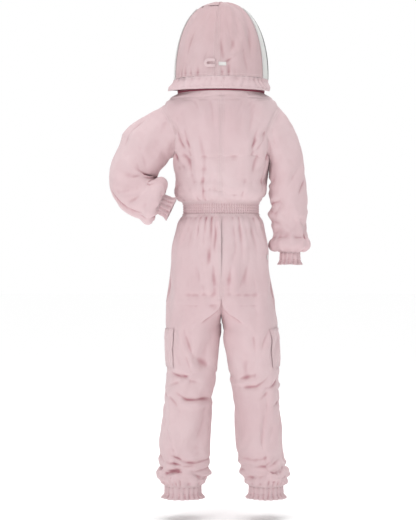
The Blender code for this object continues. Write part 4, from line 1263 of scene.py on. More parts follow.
@dataclass
class Trousers:
    """Seat halves from the waistband down, and a leg tube under each, joined at a U-shaped crotch seam."""
    top: float = -0.383
    base: float = -0.670
    crotch: float = -0.733
    hem: float = -1.314
    girth_columns: int = 40
    crotch_columns: int = 16
    seat_rows: int = 25
    loft_rows: int = 9
    leg_rows: int = 48
    split_z: float = -0.850
    seats: dict[int, Patch] = field(default_factory=dict)
    legs: dict[int, Patch] = field(default_factory=dict)
    sway: Creases = Creases(16, 75, (0.0, 0.19), (-0.68, -0.45), 86, 16, (0.05, 0.09), (0.010, 0.018), 0.0046)

    def build(self) -> list[Patch]:
        """Coarse grids; the waist, the ankles and the front zip are pinned."""
        z = np.linspace(self.top, self.base, self.seat_rows)
        wide, middle, _ = SEAT.at(z)
        angle = np.linspace(0, np.pi, self.girth_columns + 1)[None, :]
        for side in (LEFT, RIGHT):
            grid = SEAT.point(angle, z[:, None], side)
            grid[:, [0, -1], 0] = 0
            pins = np.zeros(grid.shape[:2])
            pins[0] = pins[:, -1] = 1
            pins[:, 0] = 0.3
            self.seats[side] = Patch(f"seat_{WORD[side]}_half", grid, xyz(0, middle, z), False, pins)
        for side in (LEFT, RIGHT):
            self.legs[side] = self.leg(side)
        return [*self.seats.values(), *self.legs.values()]

    def crotch_seam(self, seat_base: Array) -> Array:
        """U-shaped seam at x = 0 from the front to the back, without its ends: height dips as a sine's root."""
        t = np.linspace(0, 1, self.crotch_columns + 2)[1:-1]
        front, back = seat_base[-1], seat_base[0]
        y = front[1] + (back[1] - front[1]) * (t - 0.12 * np.sin(2 * np.pi * t) / (2 * np.pi))
        z = self.base + (self.crotch - self.base) * np.sin(np.pi * t) ** 0.6
        return xyz(0, y, z)

    def leg(self, side: int) -> Patch:
        """A closed ring of the seat's half oval and the crotch seam, lofted into the leg's ovals."""
        arc = self.seats[side].points[-1]
        top = np.concatenate([arc, self.crotch_seam(arc)])
        outer = np.linspace(0, np.pi, self.girth_columns + 1)
        inner = np.pi + np.pi * np.arange(1, self.crotch_columns + 1) / (self.crotch_columns + 1)
        angle = np.concatenate([outer, inner])
        z = np.linspace(LEG_HEIGHTS[0] - 0.010, self.hem, self.leg_rows)
        rings = LEGS[side].ring(angle[None, :], z[:, None])
        t = (np.arange(self.loft_rows) / self.loft_rows)[:, None, None]
        gap = np.linalg.norm(rings[0] - top, axis=-1)[None, :, None]
        is_inner = (np.arange(len(angle)) > self.girth_columns)[None, :, None]
        down = np.array([0, 0, -1.0])
        leave = np.where(is_inner, np.array([side * 0.85, 0, -0.5]), down) * gap
        grid = np.concatenate([hermite(t, top, leave, rings[0], down * gap), rings])
        middle = grid[:, ::4].mean(1)
        pins = np.zeros(grid.shape[:2])
        pins[-2:] = 1
        pins[0, self.girth_columns:] = 1
        pins[0, 0] = 0.6
        return Patch(f"leg_{WORD[side]}", grid, middle, True, pins)

    def refine(self) -> list[Patch]:
        """Finer grids; each leg starts on its seat's points, and both share one crotch seam."""
        self.seats = {key: patch.refined() for key, patch in self.seats.items()}
        self.legs = {key: patch.refined() for key, patch in self.legs.items()}
        girth = self.girth_columns * REFINE + 1
        seam = self.legs[LEFT].points[0, girth:] * np.array([0, 1, 1])
        for side in (LEFT, RIGHT):
            self.legs[side].points[0, :girth] = self.seats[side].points[-1]
            self.legs[side].points[0, girth:] = seam
        return [*self.seats.values(), *self.legs.values()]

    def creases(self, side: int) -> list[Creases]:
        """Fold sets down a leg: drags on the thigh, short folds at the knee, long ones below, a bunched ankle."""
        around, seed = 2 * np.pi * LEG_ROUND, 220 + 10 * side
        return [
            Creases(14, seed, (0, around), (-0.93, -0.76), 68, 26, (0.04, 0.09), (0.009, 0.015), 0.0056, around),
            Creases(17, seed + 1, (0, around), (-1.04, -0.92), 6, 26, (0.03, 0.06), (0.006, 0.011), 0.0062, around),
            Creases(13, seed + 2, (0, around), (-1.23, -1.02), 74, 24, (0.05, 0.10), (0.010, 0.017), 0.0052, around),
            Creases(30, seed + 3, (0, around), (self.hem + 0.010, self.hem + 0.100), 2, 16, (0.030, 0.060),
                    (0.005, 0.009), 0.0066, around)]

    def folds(self, patch: Patch, side: int) -> Array:
        """Displacement that seat and leg share: gathers, lines under the seat, knee creases and long folds."""
        x, y, z = np.moveaxis(patch.points, -1, 0)
        back = step(-0.03, 0.05, y)
        move = waist_gathers(patch, self.top, 0.085, 0.0052)
        move = move + 0.006 * bump(z, self.top - 0.030, 0.022) * step(self.top, self.top - 0.012, z)
        move = move + 0.0046 * Noise(70 + side)(x / 0.045, y / 0.09, z / 0.24) * step(self.top, self.top - 0.05, z)
        off = np.abs(x)
        smile = z - (-0.655 - 0.10 * off + 0.6 * off**2)
        line = bump(smile, 0.0, 0.009) + 0.5 * bump(smile, -0.034, 0.009) - 0.5 * bump(smile, 0.020, 0.014)
        move = move - 0.0034 * line * back * bump(off, 0.075, 0.055)
        if patch.closed:
            a = turns(x.shape[1])
            for folds in self.creases(side):
                move = move + folds(a[None, :] * LEG_ROUND, z) * step(-0.70, -0.76, z)
        move = move + self.sway(x * side + 0.5 * (y < 0), z)
        move = move + 0.0009 * Noise(95)(x / 0.021, y / 0.024, z / 0.034)
        return move

    def fold(self) -> None:
        """Fold the seats and legs; seams dip a little, and the hems are drawn in with gathers."""
        for side in (LEFT, RIGHT):
            seat, leg = self.seats[side], self.legs[side]
            x, y, z = np.moveaxis(seat.points, -1, 0)
            keep = step(self.top, self.top - 0.014, z) * step(0.012, 0.030, np.abs(x) + 1.0 * (y > 0))
            dip = 0.0024 * bump(x, 0.0, 0.0045) * (y > 0) * step(self.top, self.top - 0.02, z)
            side_seam = 0.0015 * bump(y, -0.010, 0.005)
            move = self.folds(seat, side) * keep - dip - side_seam * keep
            seat.push(move)
            x, y, z = np.moveaxis(leg.points, -1, 0)
            far = z - self.hem
            a = turns(x.shape[1])[None, :]
            ripple = np.cos(19 * a + 2.0 * Noise(98 + side)(np.cos(a) * 1.7, np.sin(a) * 1.7, z / 0.06))
            hem = 0.0050 * ripple * np.exp(-far / 0.024) * step(0, 0.008, far)
            puff = 0.007 * bump(far, 0.036, 0.026) * step(0, 0.012, far)
            centre = step(0.0, 0.030, np.abs(x)) * (z > -0.76) + (z <= -0.76)
            keep_leg = step(0, 0.006, far) * centre
            zip_side = np.where((y < 0) & (z > -0.70), step(0.012, 0.030, np.abs(x)), 1.0)
            move = (self.folds(leg, side) + hem + puff) * keep_leg * zip_side
            dip = 0.0024 * bump(x, 0.0, 0.0045) * (y > 0) * (z > -0.70)
            move = move - dip - 0.0015 * bump(y, -0.010, 0.005) * keep_leg * (np.abs(x) > 0.06)
            leg.push(move)
            leg.points[0, :self.girth_columns * REFINE + 1] = seat.points[-1]

    def dress(self, finishes: Finishes) -> None:
        """Add the seat halves and each leg's upper and lower lengths, which share a ring of points."""
        for side in (LEFT, RIGHT):
            word = WORD[side]
            sheet_of(self.seats[side], finishes.cotton, "torso", [f"seat_{word}"], "waistband_shirred",
                     sewn=Sewn(base=False, columns=(self.girth_columns * REFINE // 2,)))
            leg = self.legs[side]
            mean_z = leg.points[:, :, 2].mean(1)
            cut = int(np.argmin(np.abs(mean_z - self.split_z)))
            inseam = (self.girth_columns + self.crotch_columns // 2) * REFINE
            seams = Sewn(top=False, columns=(self.girth_columns * REFINE // 2, inseam))
            sheet_of(leg, finishes.cotton, leg_bend(side, "torso", f"thigh_{word}", THIGH_BEND),
                     [f"leg_top_{word}", f"thigh_{word}"], f"seat_{word}_half", f"leg_upper_{word}",
                     slice(0, cut + 1), sewn=seams)
            sheet_of(leg, finishes.cotton, leg_bend(side, f"thigh_{word}", f"shin_{word}", KNEE_BEND),
                     [f"knee_{word}", f"shin_{word}"], f"leg_upper_{word}", f"leg_lower_{word}", slice(cut, None),
                     sewn=seams)


# ---- Bands ------------------------------------------------------------------------------------------
@dataclass
class Waistband:
    """Shirred elastic between bodice and seat: close ripples and rows of stitching, open at the front zip."""
    top: float = -0.3452
    base: float = -0.3832
    half_width: float = 0.129
    front: float = 0.148
    back: float = 0.088
    pitch: float = 0.0082
    tuck: float = 0.0030

    def build(self) -> Patch:
        """Oval band: ripples shrink at four sewn rows, and both edges flare to meet the cloth they gather."""
        rows, columns = 40, 420
        v = np.linspace(0, 1, rows)[:, None]
        end = np.pi - math.asin(ZIP_SLOT / self.half_width)
        a = np.linspace(-end, end, columns)[None, :]
        z = self.top + (self.base - self.top) * v
        ca, sa = np.cos(a), np.sin(a)
        girth = a * 0.122
        uneven = 0.0030 * Noise(101)(girth / 0.03, v * 0.8, 0) + 0.0012 * Noise(102)(girth / 0.01, v * 3, 0)
        ripple = np.cos(2 * np.pi * (girth + uneven) / self.pitch)
        sewn = sum(bump(v, place, 0.028) for place in (0.16, 0.39, 0.62, 0.85))
        move = 0.0017 * ripple * (1 - 0.45 * sewn) - 0.0014 * sewn + 0.0012
        move = move + self.tuck * (step(0.10, 0.0, v) + step(0.90, 1.0, v))
        move = move * step(0, 0.02, 1 - np.abs(a) / end)
        middle, deep = (self.back - self.front) / 2, (self.back + self.front) / 2
        points = xyz((self.half_width + move) * sa, middle + (deep + move) * ca, z)
        axis = xyz(0, middle, z[:, 0])
        return Patch("waistband_shirred", points, axis)

    def dress(self, finishes: Finishes) -> None:
        """Add the band."""
        sheet_of(self.build(), finishes.band, "torso", ["waistband"], "seat_left_half", wall=0.0018)


@dataclass
class Collar:
    """Band from the neck zip down and out to the bodice, a little hollow, with short puckers at its lower seam."""
    top: float = 0.0312
    base: float = 0.0116
    radius: float = 0.150

    def build(self) -> Patch:
        """Level ovals from the neck's circle to the bodice's top section, mixed by a sine so the band dips."""
        rows, columns = 14, 300
        v = np.linspace(0, 1, rows)[:, None]
        end = np.pi - math.asin(ZIP_SLOT / 0.165)
        a = np.linspace(-end, end, columns)[None, :]
        wide, middle, deep = BODICE.at(np.array([self.base]))
        mix = np.sin(v * np.pi / 2) ** 1.1
        w = self.radius + (wide[0] - self.radius) * mix
        d = self.radius + (deep[0] - self.radius) * mix
        z = self.top + (self.base - self.top) * v
        girth = a * 0.165
        pucker = 0.0011 * Noise(111)(girth / 0.010, v * 1.5, 0) * np.sin(np.pi * v)
        soft = 0.0022 * Noise(112)(girth / 0.05, v, 0) * np.sin(np.pi * v)
        move = (pucker + soft) * step(0, 0.04, 1 - np.abs(a) / end)
        points = xyz((w + move) * np.sin(a), middle[0] * mix + (d + move) * np.cos(a), z)
        points[:, 0, 0], points[:, -1, 0] = -ZIP_SLOT, ZIP_SLOT
        axis = xyz(0, 0, z[:, 0])
        return Patch("collar_band", points, axis)

    def dress(self, finishes: Finishes) -> None:
        """Add the band."""
        sheet_of(self.build(), finishes.cotton, "torso", ["collar"], "bodice_back_panel_left", wall=RIBBED)


# ---- Hood -------------------------------------------------------------------------------------------
@dataclass
class Hood:
    """A turned hood: cotton behind, a white strip each side, black net in front, a crown and a gathered band."""
    radius: float = 0.163
    base: float = 0.079
    top: float = 0.348
    band_base: float = 0.049
    neck_radius: float = 0.150
    overhang: float = 0.013
    turn: float = -6.0
    pink: float = 66.0
    strip: float = 20.0
    crown_share: float = 0.93
    cell: float = 0.0042
    drapes: Creases = Creases(16, 124, (-0.19, 0.19), (0.02, 0.23), 84, 20, (0.04, 0.08), (0.009, 0.016), 0.0040)

    def share_of(self, radius: Array) -> Array:
        """Share of the height at which the hood has a radius, near the crown."""
        return (1 - np.clip(radius / self.radius, 0, 1) ** 2.4) ** (1 / 2.2)

    def radius_at(self, share: Array) -> Array:
        """Radius at a share of the height: R (1 - share^2.2)^(1/2.4)."""
        return self.radius * np.clip(1 - np.clip(share, 0, 1) ** 2.2, 1e-9, 1) ** (1 / 2.4)

    def lift(self, angle: Array, share: Array) -> Array:
        """Height of the cotton's folds: hem gathers, pleats below the crown, broad dents, and drag folds."""
        degrees = np.degrees(angle)
        cotton = step(self.pink + 2, self.pink - 12, np.abs(degrees))
        low = np.exp(-share / 0.10) * step(-0.02, 0.03, share)
        uneven = Noise(121)(angle * 3.1, share * 2.5, 0)
        gathers = 0.0036 * np.cos(angle * 40 + 2.6 * uneven) * low * (0.6 + 0.6 * Noise(122)(angle * 4, share, 0))
        pinch = step(0.62, 0.93, share)
        pleats = -0.0062 * np.abs(np.cos(angle * 3.5 + 1.1 * uneven + 0.5)) ** 6 * pinch
        broad = 0.0060 * Noise(123)(angle * 1.6, share * 1.5, 2) * step(0, 0.15, share)
        long_ = self.drapes(angle * self.radius, share * 0.27)
        rise = share - (0.165 + 0.42 * np.clip(-np.sin(np.radians(-degrees + 8)), 0, 1) ** 1.2)
        crease = -0.0022 * bump(rise, 0.0, 0.024) * step(5, 14, degrees) * step(40, 20, degrees)
        seam = -0.0024 * np.exp(-((degrees / 1.3) ** 2)) + 0.0009 * np.exp(-(((np.abs(degrees) - 3.2) / 1.6) ** 2))
        side = 0.004 * bump(np.abs(degrees), 50, 9) * np.exp(-share / 0.25)
        return (gathers + pleats + broad + long_ * 1.1 + crease + side) * cotton + seam * step(1.0, 0.9, share)

    def stiff(self, angle: Array, share: Array) -> Array:
        """Height of the net and strips: the net bows out between its seams, and stays smooth."""
        degrees = np.degrees(angle) % 360
        edge = self.pink + self.strip
        bow = np.clip(np.sin(np.pi * (degrees - edge) / (360 - 2 * edge)), 0, 1) ** 0.5
        return 0.0052 * bow * np.sin(np.pi * np.clip(share, 0, 1)) ** 0.7

    def point(self, angle: Array, share: Array, move: Array) -> Array:
        """Place on the hood at angles from its back seam towards the wearer's right."""
        r = self.radius_at(share) + move * step(1.0, 0.9, share)
        a = angle + math.radians(self.turn)
        z = self.base + (self.top - self.base) * share + move * step(0.85, 1.0, share) * 0.9
        return xyz(-r * np.sin(a), r * np.cos(a), z)

    def sector(self, name: str, start: float, end: float, cotton: bool) -> Patch:
        """A grid between two angles in degrees, from the base to the crown, with rows even along the profile."""
        columns = max(8, round(math.radians(end - start) * self.radius / self.cell))
        fine = np.linspace(0, self.crown_share, 400)
        run = np.hypot(np.gradient(self.radius_at(fine)), np.gradient(fine) * (self.top - self.base))
        length = np.concatenate([[0], np.cumsum(run)[1:]])
        rows = round(length[-1] / self.cell)
        share = np.interp(np.linspace(0, length[-1], rows), length, fine)[::-1][:, None]
        angle = np.radians(np.linspace(start, end, columns))[None, :]
        move = self.lift(angle, share) if cotton else self.stiff(angle, share)
        points = self.point(angle, share, move)
        axis = xyz(0, 0, points[:, 0, 2])
        return Patch(name, points, axis)

    def crown(self) -> Patch:
        """The closed top: rings from the crown's edge to its middle, on the same surface."""
        radius = np.linspace(0.0004, self.radius_at(np.array(self.crown_share)), 20)[:, None]
        share = self.share_of(radius)
        angle = np.radians(np.arange(0, 360, 1.5))[None, :]
        move = np.where(np.cos(angle) > math.cos(math.radians(self.pink)), self.lift(angle, share), 0)
        pucker = 0.0035 * np.cos(angle * 9 + 1.5 * Noise(131)(np.cos(angle) * 2, np.sin(angle) * 2, 0))
        move = move + pucker * np.clip(1 - radius / 0.05, 0, 1) * step(0.0, 0.012, radius)
        a = angle + math.radians(self.turn)
        dome = self.base + (self.top - self.base) * share - 0.006 * bump(radius, 0.0, 0.012)
        mixed = self.point(angle, np.full_like(radius, self.crown_share), move)
        points = xyz(-radius * np.sin(a), radius * np.cos(a), dome + move * 0.9)
        edge = step(0.85, 1.0, radius / radius[-1])[..., None]
        points = points * (1 - edge) + (points + (mixed - points[-1:])) * edge
        axis = np.tile([0, 0, self.base], (len(radius), 1))
        return Patch("hood_crown_cap", points, axis, True)

    def band(self) -> Patch:
        """Gathered band from the hood to the zip; behind, it hangs free over the zip as a short skirt."""
        rows, columns = 26, 460
        v = np.linspace(0, 1, rows)[:, None]
        a = turns(columns)[None, :]
        r = self.neck_radius + (self.radius - self.neck_radius) * (1 - v) ** 0.8
        girth = a * 0.155
        uneven = Noise(141)(np.cos(a) * 2.5, np.sin(a) * 2.5, v * 0.6)
        ripple = np.cos(38 * a + 4.5 * uneven) * (0.35 + 0.65 * step(-0.3, 0.5, Noise(144)(a * 3, v * 0.5, 0)))
        behind = step(-0.35, 0.45, np.cos(a))
        move = 0.0022 * ripple * step(1.0, 0.65, v) + 0.0020 * np.sin(np.pi * v) - 0.0016 * bump(v, 0.80, 0.05)
        move = move + 0.0215 * behind * step(0.1, 0.9, v) + 0.0030 * Noise(143)(a * 2.2, 2 * v, 0) * behind * v
        move = move + 0.0016 * Noise(142)(girth / 0.03, v, 0) * np.sin(np.pi * v)
        move = move + 0.020 * step(0.35, 0.95, np.sin(a)) * step(-0.7, 0.1, np.cos(a)) * v**1.3
        z = self.base - 0.0004 + (self.band_base - self.base - self.overhang * behind) * v
        points = xyz((r + move) * np.sin(a), (r + move) * np.cos(a), z)
        return Patch("hood_band_gathered", points, xyz(0, 0, z[:, 0]), True)

    def dress(self, finishes: Finishes) -> None:
        """Add the cotton, the strips, the net, the crown, the band, the piping, the hang loop and the label."""
        edge = self.pink + self.strip
        cotton = [self.sector("hood_back_right", 0, self.pink, True),
                  self.sector("hood_back_left", -self.pink, 0, True)]
        strips = [self.sector("hood_strip_right", self.pink, edge, False),
                  self.sector("hood_strip_left", -edge, -self.pink, False)]
        net = self.sector("veil_net", edge, 360 - edge, False)
        crown = self.crown()
        set_normals([*cotton, *strips, net, crown])
        for patch, node in zip(cotton, ("hood_panel_right", "hood_panel_left")):
            sheet_of(patch, finishes.hood, "hood", [node], "hood_band_gathered")
        for patch, node in zip(strips, ("hood_side_right", "hood_side_left")):
            sheet_of(patch, finishes.white, "hood", [node], "hood_band_gathered", slot="white_cotton")
        sheet_of(net, finishes.net, "hood", ["veil_mesh"], "hood_band_gathered", held="stretched", slot="veil_mesh",
                 wall=0.0005)
        sheet_of(crown, finishes.hood, "hood", ["hood_crown"], "hood_back_right")
        sheet_of(self.band(), finishes.band, "hood", ["hood_band"], "neck_zip_hood_tape", wall=RIBBED)
        share = np.linspace(0.01, 0.90, 90)
        for side, sign in ((LEFT, -1), (RIGHT, 1)):
            angle = np.full_like(share, math.radians(sign * self.pink))
            path = self.point(angle, share, np.full_like(share, 0.0024))
            cord = tube(f"veil_piping_cord_{WORD[side]}", path, 0.0021, 8, finishes.piping)
            fit(cord, "white_piping", "hood", f"veil_piping_{WORD[side]}")
        self.add_loop(finishes)
        self.add_label(finishes)

    def add_loop(self, finishes: Finishes) -> None:
        """A hang loop: a folded tape that leaves the back seam, turns back and returns, standing off the hood."""
        t = np.linspace(0, 1, 60)
        knots = (0, 0.2, 0.42, 0.5, 0.58, 0.8, 1.0)
        angle = np.radians(through(knots, (-1.0, -6.0, -11.6, -12.6, -11.6, -6.0, -1.0), t))
        share = through(knots, (0.192, 0.196, 0.184, 0.160, 0.136, 0.124, 0.128), t)
        off = through(knots, (0.0030, 0.0060, 0.0085, 0.0092, 0.0085, 0.0060, 0.0030), t)
        middle = self.point(angle, share, self.lift(angle, share) + off)
        turned = angle + math.radians(self.turn)
        out = xyz(-np.sin(turned), np.cos(turned), 0)
        run = np.gradient(middle, axis=0)
        run /= np.linalg.norm(run, axis=1, keepdims=True)
        side = np.cross(run, out)
        half = 0.0053
        width = np.linspace(-half, half, 9)
        points = middle[:, None] + side[:, None] * width[None, :, None]
        points = points + out[:, None] * (0.0009 * np.cos(width / half * np.pi / 2))[None, :, None]
        patch = Patch("hang_loop_tape", points, middle - out * 0.02)
        sheet_of(patch, finishes.band, "hood", ["hood_hang_loop"], "hood_back_left", held="folded", wall=0.0018)

    def add_label(self, finishes: Finishes) -> None:
        """A blank woven label beside the back seam, its free ends curling off the hood."""
        u = np.linspace(-1, 1, 25)[None, :]
        v = np.linspace(1, -1, 14)[:, None]
        angle = np.radians(7.2 + u * 4.4)
        share = 0.150 + v * 0.0225
        curl = 0.0016 + 0.0016 * np.abs(u) ** 3 + 0.0004 * np.cos(v * 3)
        points = self.point(angle, share, self.lift(angle * np.ones_like(v), share * np.ones_like(u)) * 0.9 + curl)
        patch = Patch("blank_label", points, xyz(0, 0, points[:, 0, 2]))
        sheet_of(patch, finishes.tag, "hood", ["hood_label"], "hood_back_right", held="laid", slot="white_cotton",
                 wall=0.0006)


# ---- Zips -------------------------------------------------------------------------------------------
WIRE = 0.0008               # radius of the sliders' bridges and rings
COIL_WIDE, COIL_HIGH = 0.0027, 0.0010


def drawn(value: Array, power: float) -> Array:
    """A power of the value's size, with its sign."""
    return np.sign(value) * np.abs(value) ** power


def pebble(name: str, centre: Array, axes: Array, half: tuple, power: float,
           material: bpy.types.Material) -> bpy.types.Object:
    """A rounded block: a superellipsoid, whose sines and cosines are raised to a power below one.

    Args:
        name: the object's name.
        centre: its middle.
        axes: three unit rows, the block's own directions.
        half: half sizes along them.
        power: 1 for an ellipsoid, towards 0 for a box.
        material: its finish.

    Returns:
        The block.
    """
    rows, columns = 20, 32
    a = turns(columns)[None, :]
    b = np.linspace(-np.pi / 2, np.pi / 2, rows)[1:-1, None]
    level = drawn(np.cos(b), power)
    local = xyz(half[0] * level * drawn(np.cos(a), power), half[1] * level * drawn(np.sin(a), power),
                half[2] * drawn(np.sin(b), power))
    local = np.concatenate([local.reshape(-1, 3), [[0, 0, -half[2]], [0, 0, half[2]]]])
    faces = grid_faces(rows - 2, columns, True).tolist()
    south = (rows - 2) * columns
    first = [(p, (p + 1) % columns) for p in range(columns)]
    faces += [[south, q, p] for p, q in first]
    faces += [[south + 1, south - columns + p, south - columns + q] for p, q in first]
    return add_mesh(name, np.asarray(centre) + local @ np.asarray(axes), faces, material)


@dataclass(frozen=True)
class Slider:
    """A zip's slider and its pull: a waisted body with an arched bridge, and a long ring that hangs from it."""
    word: str
    centre: tuple[float, float, float]
    out: tuple[float, float, float]         # away from the suit
    run: tuple[float, float, float]         # towards the pull
    half: tuple[float, float, float] = (0.0055, 0.0045, 0.0021)
    pull_length: float = 0.026

    def dress(self, finishes: Finishes) -> None:
        """Add the body, with its bridge joined as a child, and the pull."""
        centre, out, run = np.array(self.centre), np.array(self.out), np.array(self.run)
        side = np.cross(out, run)
        body = pebble(f"{self.word}_slider_body", centre, np.stack([run, side, out]), self.half, 0.45, finishes.metal)
        fit(body, "zip_metal", f"{self.word}_slider", f"{self.word}_zip_slider")
        t = np.linspace(0, np.pi, 24)[:, None]
        arch = centre + run * (np.cos(t) * 0.0042) + out * (0.0012 + np.sin(t) * 0.0024)
        bridge = tube(f"{self.word}_slider_bridge", arch, WIRE, 8, finishes.metal)
        fit(bridge, "zip_metal", f"{self.word}_slider")
        length = self.pull_length
        a = turns(64)
        long_ = drawn(np.cos(a), 0.55) * (length / 2 - 0.0009)
        wide = drawn(np.sin(a), 0.75) * 0.0023
        middle = centre + run * (self.half[0] + 0.0006 + length / 2)
        ring = middle + run * long_[:, None] + side * wide[:, None]
        pull = tube(f"{self.word}_pull_ring", ring, WIRE, 8, finishes.metal, closed=True)
        grip = pebble(f"{self.word}_pull_grip", middle + run * length * 0.24, np.stack([run, side, out]),
                      (length * 0.22, 0.0027, 0.0008), 0.5, finishes.metal)
        fit(pull, "zip_metal", f"{self.word}_pull", f"{self.word}_zip_pull")
        fit(grip, "zip_metal", f"{self.word}_pull")


@dataclass
class Zips:
    """Coils of the neck and front zips, their sliders and the bottom stop; the tapes keep their CAD shapes."""
    neck_radius: float = 0.1490
    neck_z: float = 0.040
    slider_angle: float = 22.0
    front_y: float = -0.1494
    front_top: float = -0.0035
    front_length: float = 0.5445
    pitch: float = 0.0019
    around: int = 6

    def coil(self, name: str, run: Array, wide: Array, out: Array, node: str, finishes: Finishes) -> None:
        """A flattened helix: its path adds a cosine along one direction and a sine along another.

        Args:
            name: the object's name.
            run: points along the zip's middle, a fixed number to each turn.
            wide: half width of the coil, one vector or one at each point.
            out: half height of the coil, one vector or one at each point.
            node: the CAD node that it stands for.
            finishes: the suit's finishes.
        """
        turn = (2 * np.pi * np.arange(len(run)) / self.around)[:, None]
        path = run + wide * np.cos(turn) + out * np.sin(turn)
        cord = tube(name, path, 0.00042, 4, finishes.coil)
        fit(cord, "zip_coil", "torso", node)

    def dress(self, finishes: Finishes) -> None:
        """Add both coils, both sliders and the stop, and give the tapes their weave."""
        for node in ("neck_zip_collar_tape", "neck_zip_hood_tape", "front_zip_tape_left", "front_zip_tape_right"):
            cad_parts[node].material_slots[0].material = finishes.zip_tape
        count = round(2 * np.pi * self.neck_radius / self.pitch) * self.around
        a = 2 * np.pi * np.arange(count + 1) / count
        away = xyz(np.sin(a), -np.cos(a), 0)
        neck = away * self.neck_radius + np.array([0, 0, self.neck_z])
        self.coil("neck_coil_helix", neck, np.array([[0, 0, COIL_WIDE]]), away * COIL_HIGH, "neck_zip_coil", finishes)
        count = round(self.front_length / self.pitch) * self.around
        z = self.front_top - np.linspace(0, self.front_length, count)
        line = xyz(0, self.front_y, z)
        self.coil("front_coil_helix", line, np.array([[COIL_WIDE, 0, 0]]), np.array([[0, -COIL_HIGH, 0]]),
                  "front_zip_coil", finishes)
        turn = math.radians(self.slider_angle)
        reach = self.neck_radius + COIL_HIGH + WIRE + 0.0021
        Slider("neck", (reach * math.sin(turn), -reach * math.cos(turn), self.neck_z),
               (math.sin(turn), -math.cos(turn), 0), (math.cos(turn), math.sin(turn), 0)).dress(finishes)
        low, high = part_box("front_zip_slider")
        Slider("front", tuple((low + high) / 2), (0, -1, 0), (0, 0, -1)).dress(finishes)
        low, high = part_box("front_zip_stop")
        stop = pebble("front_stop_block", np.array((low + high) / 2), np.eye(3), tuple((high - low) / 2), 0.4,
                      finishes.metal)
        fit(stop, "zip_metal", "torso", "front_zip_stop")


# ---- Pockets, flap and tag --------------------------------------------------------------------------
def overlay(patch: Patch, name: str, rows: slice, columns: slice, lift: float, puff: float = 0.0) -> Patch:
    """A patch sewn on another: part of its grid, refined twice and raised, more in the middle than at its edges."""
    part = Patch(name, patch.points[rows, columns], patch.axis[rows]).refined(2)
    direction = refined_grid(patch.normals[rows, columns], 2)
    v = np.linspace(0, 1, part.points.shape[0])[:, None]
    u = np.linspace(0, 1, part.points.shape[1])[None, :]
    bow = (np.sin(np.pi * u) * np.sin(np.pi * v)) ** 0.5
    ripple = 0.0006 * Noise(151)(u * 9, v * 9, 0) * bow
    part.points = part.points + direction * (lift + puff * bow + ripple)[..., None]
    return part


def rows_between(patch: Patch, high: float, low: float) -> slice:
    """Rows whose mean height lies between two heights."""
    z = patch.points[:, :, 2].mean(1)
    inside = np.flatnonzero((z <= high) & (z >= low))
    return slice(int(inside[0]), int(inside[-1]) + 1)


